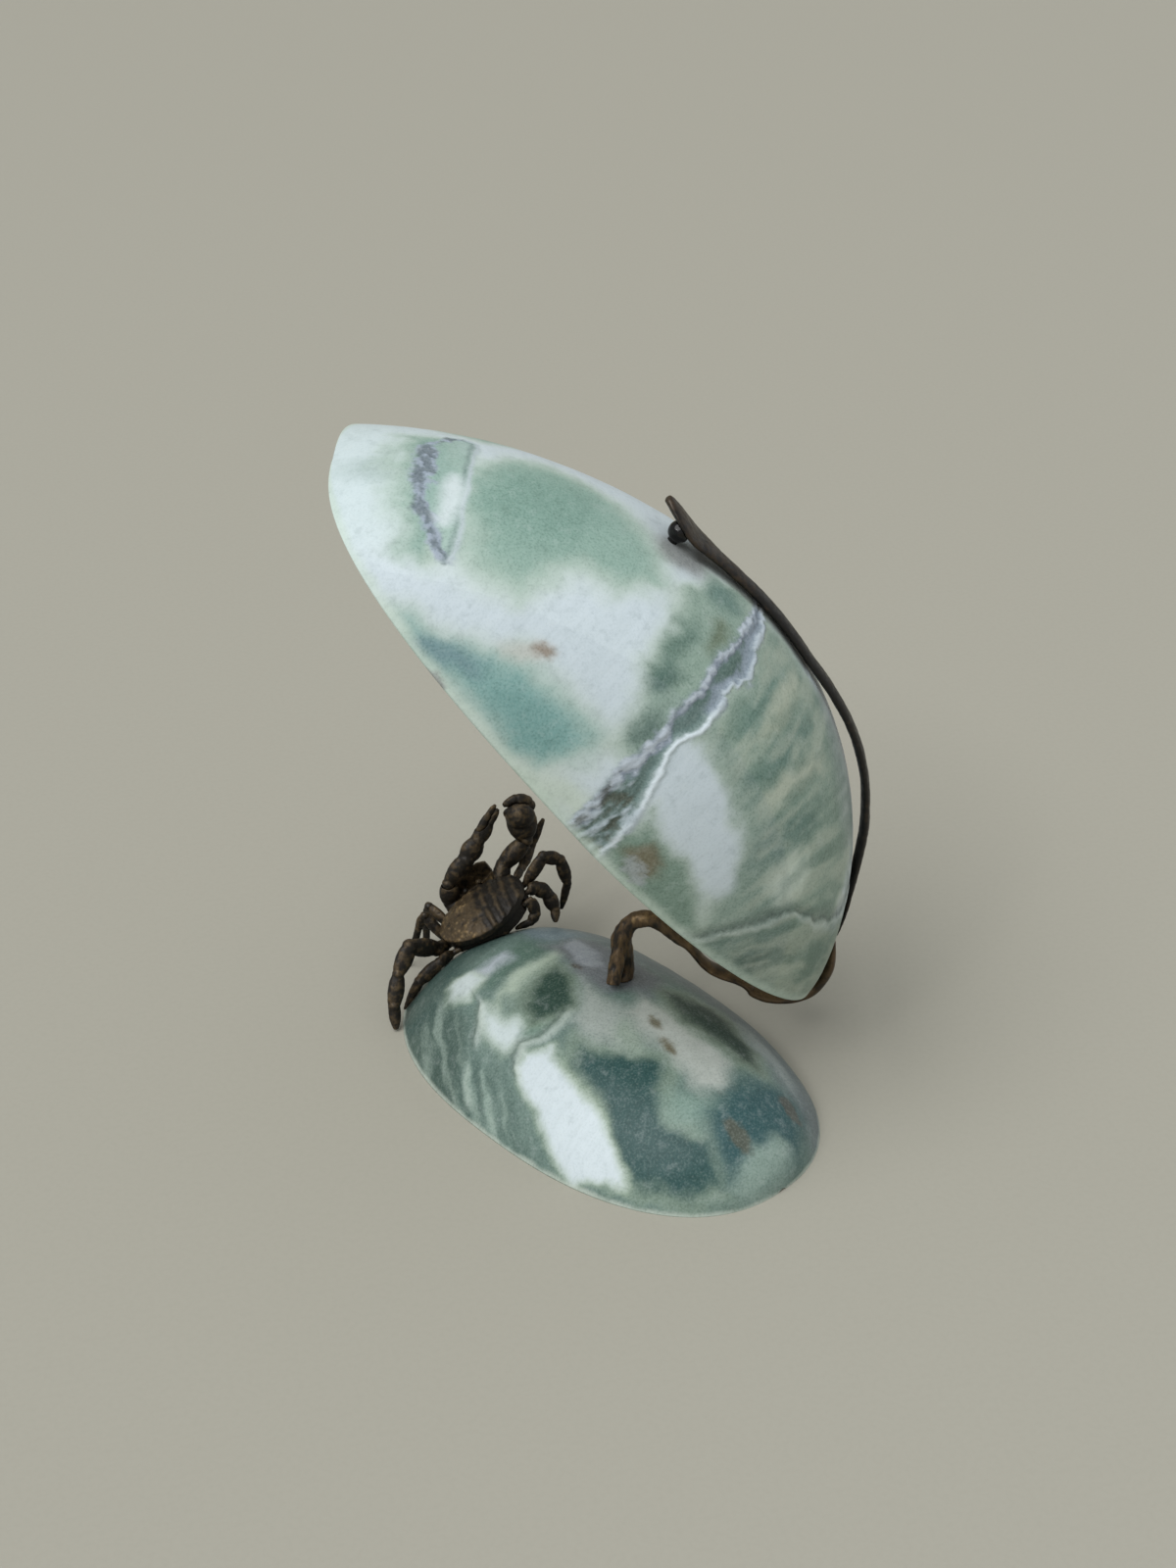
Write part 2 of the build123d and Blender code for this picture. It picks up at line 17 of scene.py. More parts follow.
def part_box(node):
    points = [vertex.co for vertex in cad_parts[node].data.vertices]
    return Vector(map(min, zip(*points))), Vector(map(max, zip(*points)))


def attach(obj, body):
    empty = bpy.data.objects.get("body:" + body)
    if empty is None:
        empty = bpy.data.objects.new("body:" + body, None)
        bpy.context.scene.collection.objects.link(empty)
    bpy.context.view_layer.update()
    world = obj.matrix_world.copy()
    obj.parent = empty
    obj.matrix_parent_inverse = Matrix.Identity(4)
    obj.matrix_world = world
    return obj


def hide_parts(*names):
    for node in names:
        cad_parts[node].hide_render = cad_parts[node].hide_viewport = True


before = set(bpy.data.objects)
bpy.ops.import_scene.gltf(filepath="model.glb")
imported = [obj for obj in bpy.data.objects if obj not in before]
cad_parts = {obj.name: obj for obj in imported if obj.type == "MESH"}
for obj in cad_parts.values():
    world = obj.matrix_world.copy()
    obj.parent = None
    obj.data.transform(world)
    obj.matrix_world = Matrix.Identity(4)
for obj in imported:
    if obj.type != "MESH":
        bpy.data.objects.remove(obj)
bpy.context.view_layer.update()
MM = 0.001

# %% [markdown]
# ## Camera
#
# The ornament is seen from a little to its left and from above. A long lens keeps its lines nearly
# parallel. The camera looks along a direction given by its azimuth and elevation, from a known
# distance, so those four values are all that it needs.

# %% Camera
VIEW_AZIMUTH = math.radians(-15)
VIEW_ELEVATION = math.radians(32)
VIEW_DISTANCE = 430 * MM
VIEW_TARGET = Vector((1.04, 15.56, 56.73)) * MM
VIEW_LENS = 52.0
VIEW_NEAREST = 10 * MM
SENSOR = 36.0

back = Vector((
    math.sin(VIEW_AZIMUTH) * math.cos(VIEW_ELEVATION),
    -math.cos(VIEW_AZIMUTH) * math.cos(VIEW_ELEVATION),
    math.sin(VIEW_ELEVATION),
))
camera_data = bpy.data.cameras.new("camera")
camera_data.lens = VIEW_LENS
camera_data.sensor_width = SENSOR
camera_data.clip_start = VIEW_NEAREST
camera = bpy.data.objects.new("camera", camera_data)
camera.location = VIEW_TARGET + back * VIEW_DISTANCE
camera.rotation_euler = back.to_track_quat("Z", "Y").to_euler()
bpy.context.scene.collection.objects.link(camera)
bpy.context.scene.camera = camera
print("camera at", [round(value, 3) for value in camera.location])

# %% [markdown]
# ## Small helpers for materials
#
# A material is a tree of nodes. Writing each node as one call keeps the trees short: the call names
# the kind of node, its settings and what goes into its sockets, a value or another node's output.
# Colours are written as they look on a screen, from 0 to 255, and turned into the linear values
# that the shader works with.


# %% Material helpers
def paint(red, green, blue):
    """Linear colour from screen values of 0 to 255."""
    shares = [value / 255 for value in (red, green, blue)]
    linear = [s / 12.92 if s <= 0.04045 else ((s + 0.055) / 1.055) ** 2.4 for s in shares]
    return tuple(linear)


def fill(tree, node, **inputs):
    """Fill a node's sockets, by name or by number as in_0, with values or other nodes' outputs."""
    for key, value in inputs.items():
        socket = node.inputs[int(key[3:]) if key.startswith("in_") else key.replace("_", " ")]
        if isinstance(value, bpy.types.NodeSocket):
            tree.links.new(value, socket)
        elif socket.type == "RGBA" and len(value) == 3:
            socket.default_value = (*value, 1)
        else:
            socket.default_value = value


def add_node(tree, kind, settings=None, **inputs):
    """A node with its settings and with its sockets filled."""
    made = tree.nodes.new(kind)
    for key, value in (settings or {}).items():
        setattr(made, key, value)
    fill(tree, made, **inputs)
    return made


def new_material(name):
    """A new material, its tree of nodes and its shader."""
    material = bpy.data.materials.new(name)
    material.use_nodes = True
    tree = material.node_tree
    return material, tree, tree.nodes["Principled BSDF"]


print("mid grey in linear light:", round(paint(128, 128, 128)[0], 3))

# %% [markdown]
# ## Short words for common nodes
#
# The finishes are made of the same few nodes: a mix of colours, a range, arithmetic, a stored value, a
# place and noise. They could be set by hand in the shader editor, but as functions each takes one
# line, and a finish reads like a recipe.


# %% Common nodes
def mix(tree, share, first, second, blend="MIX"):
    """Colour between two colours."""
    made = add_node(tree, "ShaderNodeMix", {"data_type": "RGBA", "blend_type": blend},
                    in_0=share, in_6=first, in_7=second)
    return made.outputs[2]


def steps(tree, value, low, high, to_low=0.0, to_high=1.0):
    """A value spread from one range to another, with soft ends."""
    made = add_node(tree, "ShaderNodeMapRange", {"interpolation_type": "SMOOTHSTEP"},
                    Value=value, From_Min=low, From_Max=high, To_Min=to_low, To_Max=to_high)
    return made.outputs["Result"]


def reckon(tree, operation, *values):
    """A sum, a product or other arithmetic on values."""
    inputs = {f"in_{number}": value for number, value in enumerate(values)}
    return add_node(tree, "ShaderNodeMath", {"operation": operation}, **inputs).outputs[0]


def stored(tree, name, output="Fac"):
    """A value or a colour that is stored at each point of the mesh."""
    return add_node(tree, "ShaderNodeAttribute", {"attribute_name": name}).outputs[output]


def own_place(tree):
    """Where a point lies on its own piece, in metres."""
    return add_node(tree, "ShaderNodeTexCoord").outputs["Object"]


def cloudy(tree, place, scale, detail, **more):
    """Noise in space: soft clouds at a small scale, fine specks at a large one."""
    made = add_node(tree, "ShaderNodeTexNoise", Vector=place, Scale=scale, Detail=detail, **more)
    return made.outputs["Fac"]


# %% [markdown]
# ## Floor
#
# The ornament stands on a plain pale surface. A flat plane would do, but its far edge would show as
# a horizon. So the far edge of a grid is spun up through a quarter turn and then extruded upwards, in
# the way that a sheet of paper is curved up behind a small object. It is matt, with a faint grain.

# %% Floor
FLOOR_REACH = 2500 * MM
FLOOR_CURVE = 250 * MM
FLOOR_STEPS = 24
FLOOR_COLOUR = paint(170, 167, 154)
FLOOR_GRAIN = paint(150, 146, 133)
FLOOR_ROUGHNESS = 0.85


def make_object(name, bm):
    """An object of the scene from a bmesh, which is freed."""
    data = bpy.data.meshes.new(name)
    bm.to_mesh(data)
    bm.free()
    made = bpy.data.objects.new(name, data)
    bpy.context.scene.collection.objects.link(made)
    return made


floor_mesh = bmesh.new()
bmesh.ops.create_grid(floor_mesh, x_segments=1, y_segments=1, size=FLOOR_REACH)
far_edge = [edge for edge in floor_mesh.edges if all(vert.co.y > 0 for vert in edge.verts)]
turned = bmesh.ops.spin(
    floor_mesh, geom=far_edge, cent=(0, FLOOR_REACH, FLOOR_CURVE), axis=(1, 0, 0),
    dvec=(0, 0, 0), angle=math.radians(90), steps=FLOOR_STEPS,
)
last_edge = [part for part in turned["geom_last"] if isinstance(part, bmesh.types.BMEdge)]
raised = bmesh.ops.extrude_edge_only(floor_mesh, edges=last_edge)
raised_verts = [part for part in raised["geom"] if isinstance(part, bmesh.types.BMVert)]
bmesh.ops.translate(floor_mesh, vec=(0, 0, FLOOR_REACH), verts=raised_verts)
bmesh.ops.recalc_face_normals(floor_mesh, faces=floor_mesh.faces)
floor = make_object("floor", floor_mesh)
for polygon in floor.data.polygons:
    polygon.use_smooth = True

floor_finish, floor_tree, floor_shader = new_material("pale floor")
floor_specks = cloudy(floor_tree, own_place(floor_tree), 900.0, 3.0)
floor_tone = mix(floor_tree, steps(floor_tree, floor_specks, 0.35, 0.75, 0.0, 0.10),
                 FLOOR_COLOUR, FLOOR_GRAIN)
fill(floor_tree, floor_shader, Base_Color=floor_tone, Roughness=FLOOR_ROUGHNESS)
floor.data.materials.append(floor_finish)
print("floor faces:", len(floor.data.polygons))

# %% [markdown]
# ## Light
#
# The light is soft daylight from above and the left. Large lamps could give it, but a lamp lights
# what is near it more. A sun is even, and with a wide angle it is as soft as one behind thin cloud.
# A small weak lamp puts a glint on what is glossy, and a pale sky fills the shadows.

# %% Light
SUN_FROM = Vector((-0.45, -0.28, 1.0))
SUN_STRENGTH = 1.9
SUN_WIDTH = math.radians(50)
GLINT_PLACE = Vector((-0.70, -0.60, 0.90))
GLINT_SIZE = 0.15
GLINT_POWER = 0.9
SKY_COLOUR = paint(236, 240, 244)
SKY_STRENGTH = 0.55


def add_lamp(name, kind, power, shines_from):
    """A lamp turned so that it shines from a direction."""
    lamp = bpy.data.objects.new(name, bpy.data.lights.new(name, kind))
    lamp.data.energy = power
    lamp.rotation_euler = shines_from.to_track_quat("Z", "Y").to_euler()
    bpy.context.scene.collection.objects.link(lamp)
    return lamp


sun = add_lamp("veiled sun", "SUN", SUN_STRENGTH, SUN_FROM)
sun.data.angle = SUN_WIDTH
glint = add_lamp("glint lamp", "AREA", GLINT_POWER, GLINT_PLACE - VIEW_TARGET)
glint.location = GLINT_PLACE
glint.data.size = GLINT_SIZE
world = bpy.data.worlds.new("sky")
world.use_nodes = True
fill(world.node_tree, world.node_tree.nodes["Background"], Color=SKY_COLOUR, Strength=SKY_STRENGTH)
bpy.context.scene.world = world
bpy.context.scene.view_settings.view_transform = "Standard"
print("lamps:", sun.name, "and", glint.name)

# %% [markdown]
# ## The form of a shell
#
# Each shell is a pod: arcs of a circle across it, whose width and rise shrink towards two pointed
# ends. A flat grid can be bent over that form, row by row, which keeps two handy numbers at every
# point: how far along the shell it lies, and how far round from the ridge. Growth bands, scars and
# streaks all follow those two numbers. The rows are set closer where a scar has to be cut.

# %% Shell form
ROW_END = math.radians(89)
ROW_CROWDING = 2.6
ROW_CROWD_REACH = 5.0
ROW_SAMPLES = 4001

UPPER_POD = {
    "length": 140.0, "half_width": 36.8, "depth": 40.6, "wall": 2.8, "tip_wall": 4.0,
    "low_end": (1.6, 0.55, 2.23, 0.86), "high_end": (2.97, 0.32, 1.73, 0.75),
}
BASE_POD = {
    "length": 96.4, "half_width": 29.9, "depth": 19.6, "wall": 2.6, "tip_wall": 4.0,
    "low_end": (2.5, 0.5, 3.71, 1.26), "high_end": (2.4, 0.44, 1.99, 0.47),
}


def inner_pod(pod):
    """The hollow of a pod."""
    return {
        **pod,
        "length": pod["length"] - 2 * pod["tip_wall"],
        "half_width": pod["half_width"] - pod["wall"],
        "depth": pod["depth"] - pod["wall"],
    }


def pod_points(pod, along, across):
    """Points of a pod: along it in millimetres, and across from rim (-1) to rim (1).

    Returns the points, how far round from the ridge each lies, and how far from the rim."""
    share = along / (pod["length"] / 2)
    low = np.array(pod["low_end"])
    high = np.array(pod["high_end"])
    powers = np.where((share < 0)[:, None], low, high)
    plan = (1 - np.abs(share) ** powers[:, 0]) ** powers[:, 1]
    profile = (1 - np.abs(share) ** powers[:, 2]) ** powers[:, 3]
    half, rise = pod["half_width"] * plan, pod["depth"] * profile
    radius = (half ** 2 + rise ** 2) / (2 * rise)
    rim_turn = 2 * np.arctan2(rise, half)
    turn = rim_turn * across
    points = np.stack([along, radius * np.sin(turn), rise - radius * (1 - np.cos(turn))], axis=1)
    return points, radius * turn, radius * rim_turn * (1 - np.abs(across))


def crowded_rows(pod, count, scars):
    """Places of the rows along a pod, closer together near its ends and its scars."""
    angle = np.linspace(-ROW_END, ROW_END, ROW_SAMPLES)
    along = pod["length"] / 2 * np.sin(angle)
    density = np.ones_like(angle)
    for scar in scars:
        density += ROW_CROWDING * np.exp(-((along - scar) / ROW_CROWD_REACH) ** 2)
    total = np.cumsum(density)
    return np.interp(np.linspace(total[0], total[-1], count + 1), total, along)


def add_pod_sheet(bm, pod, rows, columns):
    """A grid bent over a pod. Returns its vertices, their places along and round it, and to the rim."""
    grid = bmesh.ops.create_grid(bm, x_segments=len(rows) - 1, y_segments=columns, size=1)
    verts = grid["verts"]
    spots = np.array([vert.co[:2] for vert in verts])
    along = np.interp(spots[:, 0], np.linspace(-1, 1, len(rows)), rows)
    points, round_ridge, to_rim = pod_points(pod, along, spots[:, 1])
    for vert, point in zip(verts, points):
        vert.co = point
    return verts, along, round_ridge, to_rim


middle_girth = pod_points(UPPER_POD, np.zeros(1), np.ones(1))[1][0]
print("upper shell from ridge to rim:", round(float(middle_girth), 1), "mm")

# %% [markdown]
# ## The places of the shells
#
# The base shell lies flat on its rim, turned on the spot. The upper shell rests its low tip in the
# stem's cradle and leans back over the base. Its place could be given by three angles, but two
# directions are easier to read: one along the shell and one out of its back, both in the upright
# plane of the stem.


# %% Places of the shells
def heading(degrees):
    """Level direction, counted from the X axis."""
    return Vector((math.cos(math.radians(degrees)), math.sin(math.radians(degrees)), 0))


def place_matrix(origin, along, out):
    """Matrix from a piece's own axes, in millimetres: x along it and z out of it."""
    side = out.cross(along)
    turn = Matrix((along, side, out)).transposed().to_4x4()
    return Matrix.Translation(origin) @ turn


BASE_HEADING = -62.1
STEM_HEADING = -15.7
UPPER_LEAN = math.radians(52)
FOOT_PLACE = Vector((4.6, 3.2, 0))
TIP_REACH = 36.5
TIP_HEIGHT = 18.6
UPRIGHT = Vector((0, 0, 1))
stem_out = heading(STEM_HEADING)
upper_axis = UPRIGHT * math.sin(UPPER_LEAN) - stem_out * math.cos(UPPER_LEAN)
upper_back = UPRIGHT * math.cos(UPPER_LEAN) + stem_out * math.sin(UPPER_LEAN)
upper_tip = FOOT_PLACE + stem_out * TIP_REACH + UPRIGHT * TIP_HEIGHT
UPPER_PLACE = place_matrix(upper_tip + upper_axis * (UPPER_POD["length"] / 2), upper_axis, upper_back)
BASE_PLACE = place_matrix(Vector((0, 0, 0)), heading(BASE_HEADING), UPRIGHT)
print("upper shell's low tip:", [round(value, 1) for value in upper_tip], "mm")

# %% [markdown]
# ## Painting with growth
#
# The colours of the shell are soft clouds and bands of green on white, with edges that wander. Each
# cloud is an outline of a few points in the shell's own two numbers, laid over the ones before it
# like a wash. Before any cloud is laid, the two numbers are stirred with smooth noise, so the
# outlines come out as natural, feathered shapes. Where green meets white, a thin yellowish fringe is
# laid first.


# %% Painting helpers
def wander(points, size, seed, octaves=3):
    """Smooth noise of about -1 to 1 at each point, with features of one size in millimetres."""
    offset = Vector((seed * 17.3, seed * 5.1, seed * 9.7))
    return np.array([noise.fractal(Vector(p) / size + offset, 1.0, 2.0, octaves) for p in points])


def lay(colours, field, tint, soft, amount=1.0):
    """Lay a wash over the colours where a field, in millimetres, is above nought."""
    share = np.clip(0.5 + field / (2 * soft), 0, 1)
    share = amount * share * share * (3 - 2 * share)
    return colours + (np.array(paint(*tint)) - colours) * share[:, None]


def lay_all(colours, *washes):
    """Lay washes one over the other: field, tint, softness and amount of each."""
    for field, tint, soft, amount in washes:
        colours = lay(colours, field, tint, soft, amount)
    return colours


def flat(x, y):
    """Points of a flat map, for noise that follows the growth."""
    return np.stack([x, y, 0 * x], axis=1)


def bump(values):
    """A smooth hump: 1 at nought, falling to 0 at -1 and 1."""
    hump = np.clip(1 - values ** 2, 0, 1)
    return hump * hump


WHITE = (212, 224, 229)
CREAM = (206, 219, 206)
FRINGE = (192, 208, 182)
LAVENDER = (148, 158, 174)
SAGE = (150, 179, 166)
GREEN = (146, 167, 153)
TEAL = (136, 177, 171)
DEEP_TEAL = (48, 82, 80)
DARK_GREEN = (48, 74, 63)
BROWN = (104, 96, 70)
DARK_BROWN = (66, 58, 44)
STAIN = (112, 108, 100)
print("a hump at its middle and half way out:", bump(np.array([0.0, 0.5])))

# %% [markdown]
# ## Outlines and lines
#
# A cloud has a closed outline, and a scar lies between two lines that cross the shell. Both could be
# drawn as masks, but a mask has no edge to measure from. These helpers give each point its distance
# inside an outline or beyond a line, in millimetres, which is all that a wash needs for a soft edge.

# %% Outlines and lines
RING_POINTS = 14
FRINGE_SHARE = 0.6


def ring(along, round_ridge, reach_along, reach_round, lean=0.0):
    """Outline of an oval cloud."""
    c, s = math.cos(math.radians(lean)), math.sin(math.radians(lean))
    outline = []
    for step in range(RING_POINTS):
        angle = 2 * math.pi * step / RING_POINTS
        x = reach_along * math.cos(angle)
        y = reach_round * math.sin(angle)
        outline.append((along + x * c - y * s, round_ridge + x * s + y * c))
    return outline


def inside(along, round_ridge, outline):
    """How far each point lies inside an outline, in millimetres, and below nought outside it."""
    nearest = np.full(len(along), np.inf)
    within = np.zeros(len(along), bool)
    for (x0, y0), (x1, y1) in zip(outline, outline[1:] + outline[:1]):
        run_x, run_y = x1 - x0, y1 - y0
        share = ((along - x0) * run_x + (round_ridge - y0) * run_y) / (run_x ** 2 + run_y ** 2)
        share = np.clip(share, 0, 1)
        distance = np.hypot(along - x0 - share * run_x, round_ridge - y0 - share * run_y)
        nearest = np.minimum(nearest, distance)
        if run_y:
            crosses = (y0 > round_ridge) != (y1 > round_ridge)
            within ^= crosses & (along < x0 + (round_ridge - y0) * run_x / run_y)
    return np.where(within, nearest, -nearest)


def wash(colours, along, round_ridge, clouds):
    """Lay a list of clouds: name, outline, tint, softness and, where there is one, the fringe's width."""
    for name, outline, tint, soft, *fringe in clouds:
        field = inside(along, round_ridge, outline)
        for width in fringe:
            colours = lay(colours, field + width, FRINGE, soft, FRINGE_SHARE)
        colours = lay(colours, field, tint, soft)
    return colours


def across_line(along, round_ridge, line):
    """How far each point lies beyond a line that crosses the shell, given as round and along."""
    line_round, line_along = zip(*line)
    return along - np.interp(round_ridge, line_round, line_along)


ring_depth = inside(np.zeros(1), np.zeros(1), ring(0, 0, 3, 3))[0]
print("the middle of a ring of 3 mm lies inside it by", round(float(ring_depth), 2), "mm")

# %% [markdown]
# ## The upper shell's colours
#
# From its pale tip down: a flaked scar near the tip, a large sage cloud, a white band, a teal cloud
# along the rim, the main growth scar that crosses the whole shell, then green mottling with a white
# oval in it, and below a thin wavering growth line a streaky green end. The side that faces away
# carries the same bands round, with clouds of its own.

# %% Upper shell's clouds
UPPER_CLOUDS = [
    ("pale tip", ring(69, 8, 12, 34), (212, 226, 227), 6.0),
    ("tip mottle", ring(66, 7, 2.4, 4), (186, 203, 200), 2.5),
    ("green left of the tip scar",
     [(63, -6), (64, 6), (62, 16), (57, 27), (53, 27), (56, 15), (57, 4), (57, -6)],
     (144, 174, 162), 3.0, 1.0),
    ("sage cloud",
     [(53.6, 2.5), (47, -5), (41.7, -5), (32.3, -0.9), (26.7, 7.8), (22.5, 14.7), (28.1, 19.2),
      (36.1, 19.4), (40.7, 27.9), (50.1, 23.2), (54.6, 12)], SAGE, 3.8, 2.4),
    ("sage core", ring(44, 9, 8, 9), (134, 166, 153), 5.0),
    ("teal cloud",
     [(51.5, 37.8), (42.4, 40.9), (34.4, 40), (24.6, 42.6), (15.2, 45), (12.4, 48.6), (17.3, 54.4),
      (27.8, 53), (39.6, 47.8), (46.3, 43.7)], TEAL, 3.4, 2.4),
    ("blue grey in the teal", ring(41, 43.4, 5.5, 2.4, -12), (118, 150, 153), 2.5),
    ("deep teal", ring(25, 48.2, 8, 3.0, -14), (120, 164, 158), 3.0),
    ("green rim", ring(51, 44, 8, 1.8, -22), (168, 196, 184), 2.0),
    ("cream by the rim", ring(11, 58, 11, 4), CREAM, 3.5),
    ("band beside the scar",
     [(18, 13), (13, 4), (5, 1), (4, 20), (6, 34), (7, 45), (11, 44), (13, 37), (16, 30), (17.5, 22)],
     (150, 172, 158), 2.6, 1.5),
    ("deep green in the band", ring(13.4, 29.5, 2.6, 4.2, 10), (92, 119, 109), 2.0),
    ("green in the band", ring(15, 22.5, 2.2, 3.4), (108, 134, 122), 2.2),
    ("green high in the band", ring(11.5, 8.5, 3.4, 4.0), (112, 140, 130), 2.4),
    ("green low in the band", ring(10, 39.8, 2.0, 3.0), (98, 122, 110), 1.8),
    ("olive in the band", ring(9.6, 17.7, 1.8, 3.4), (116, 131, 110), 1.8),
    ("green below the scar",
     [(2, 3), (2, 20), (3, 35), (-8, 37), (-19, 38), (-24, 46), (-30, 52), (-38, 42), (-46, 27),
      (-50, 16), (-42, 9), (-26, 6), (-10, 4)], GREEN, 3.0, 1.6),
    ("dark streak high", ring(-4, 20, 2.2, 10, -6), (116, 145, 134), 2.2),
    ("dark streak", ring(-13.5, 23, 2.6, 10, -14), (108, 137, 127), 2.4),
    ("dark streak low", ring(-25, 29, 2.8, 9, -22), (110, 137, 128), 2.4),
    ("light streak high", ring(-8.6, 17, 1.6, 9, -10), (184, 192, 172), 2.2),
    ("light streak", ring(-19, 22, 2.0, 9, -18), (188, 196, 178), 2.4),
    ("cream above the line", ring(-32.5, 31, 3.6, 6, -28), CREAM, 2.6),
    ("green at the rim",
     [(-2, 48), (-12, 50), (-22, 49), (-28, 52), (-24, 59), (-10, 61), (0, 60)],
     (126, 151, 134), 2.4, 1.2),
    ("white oval",
     [(4.4, 40.5), (-0.2, 36.5), (-8.9, 38.1), (-18.7, 39), (-24.6, 42.5), (-21.5, 47.4), (-8.6, 48.3),
      (-0.2, 45.8)], WHITE, 2.2),
    ("brown patch", [(-4, 57), (-6.8, 50.8), (-13.1, 53.1), (-11, 59)], (118, 112, 84), 1.8),
    ("pale back ridge", ring(-33, 7, 16, 5, -8), (178, 190, 186), 3.0),
    ("green foot",
     [(-28, 60), (-30, 52), (-33, 45), (-37, 36), (-41, 30), (-48, 23), (-54, 12), (-56, 0),
      (-62, -10), (-72, 0), (-72, 30), (-50, 50), (-38, 60)], (118, 141, 128), 2.0),
    ("dark streak in the foot", ring(-45, 37, 2.2, 10, -32), (90, 111, 98), 2.2),
    ("light streak in the foot", ring(-50.5, 31, 2.0, 9, -32), (156, 173, 158), 2.2),
    ("foot's end", ring(-65, 14, 6, 14), (152, 168, 153), 3.0),
    ("far sage cloud", [(54, -12), (44, -22), (30, -26), (24, -34), (34, -38), (48, -32), (57, -20)],
     SAGE, 3.6, 2.0),
    ("far teal cloud", [(46, -44), (32, -44), (18, -48), (10, -56), (24, -58), (40, -52), (50, -46)],
     TEAL, 3.2, 2.0),
    ("far band", [(16, -8), (5, -6), (5, -30), (7, -52), (11, -52), (13, -34), (17, -20)],
     (150, 170, 154), 2.8, 1.4),
    ("far green", [(2, -4), (2, -34), (-10, -40), (-26, -38), (-36, -44), (-46, -24), (-48, -8), (-20, -5)],
     GREEN, 3.2, 1.6),
    ("far dark streak", ring(-14, -24, 3, 12, 12), (110, 138, 126), 2.6),
    ("far light streak", ring(-26, -22, 2.2, 10, 20), (186, 195, 178), 2.6),
    ("far white oval", ring(-12, -46, 12, 5.0), WHITE, 2.6),
    ("far rim green", ring(-20, -56, 12, 3.4), (128, 152, 136), 2.6, 1.2),
    ("far foot", [(-30, -58), (-36, -38), (-46, -20), (-58, -2), (-72, -4), (-70, -24), (-50, -48)],
     (120, 143, 129), 2.4),
]
print("clouds on the upper shell:", len(UPPER_CLOUDS))

# %% [markdown]
# ## The upper shell's scars
#
# A shell that stops growing for a while keeps a scar. The main scar crosses the whole shell, a
# smaller one near the tip has the outline of a leaf, and a thin growth line wavers below them. They
# could be sculpted by hand, but lines are easier to change: each is a row of pairs, how far round and
# how far along, and both colour and relief follow from the distance to it.

# %% Scar lines
SCAR_UPPER_LINE = (
    (-62, 2), (-40, 4.5), (-18, 5.5), (3.6, 4), (13.3, 6.1), (21.3, 7.9), (27.5, 7.5), (33.5, 8.2),
    (39.7, 7.5), (45.7, 7.9), (51.4, 7.2), (56.7, 5.8), (62, 5),
)
SCAR_LOWER_LINE = (
    (-62, -2.5), (-40, 1), (-18, 1.5), (6.7, 2.3), (14.9, 2.3), (19.5, 0.9), (25.1, 3.7), (28.7, 2.6),
    (33.4, 2.6), (37.9, 4.4), (41.5, 3.3), (46.3, 1.2), (51.4, -0.9), (57.5, -2.3), (62, -3),
)
TIP_UPPER_LINE = ((-9, 57.5), (-2.5, 61.3), (8.9, 61.3), (16.8, 58.8), (24.7, 53.6), (27, 51.2))
TIP_LOWER_LINE = ((-9, 55.5), (-7.8, 54.3), (3.4, 55), (13.8, 53.9), (23.7, 51.1), (27, 50.8))
GROWTH_LINE = (
    (-56, -28), (-40, -33), (-20, -43), (0, -53), (12.2, -53.2), (23.4, -46.6), (29.8, -39.6),
    (36.1, -36.1), (44.9, -32.3), (52.4, -29.2), (60, -27),
)
print("points on the main scar's lines:", len(SCAR_UPPER_LINE) + len(SCAR_LOWER_LINE))

# %% [markdown]
# ## The main scar
#
# It is a shallow valley between a broken crust on its upper side and a scalloped edge on its lower
# side. Near the rim it breaks up into chalky crystals with brown hollows. Each of these is a wash with
# a field of its own, and the same fields raise or sink the sheet, so paint and relief always agree.

# %% Main scar
SCALLOP_PITCH = 6.5
LOBES_END = 31.0
LOBES_FADE = 4
CRYSTALS_START = 43.0
CRYSTALS_FADE = 7


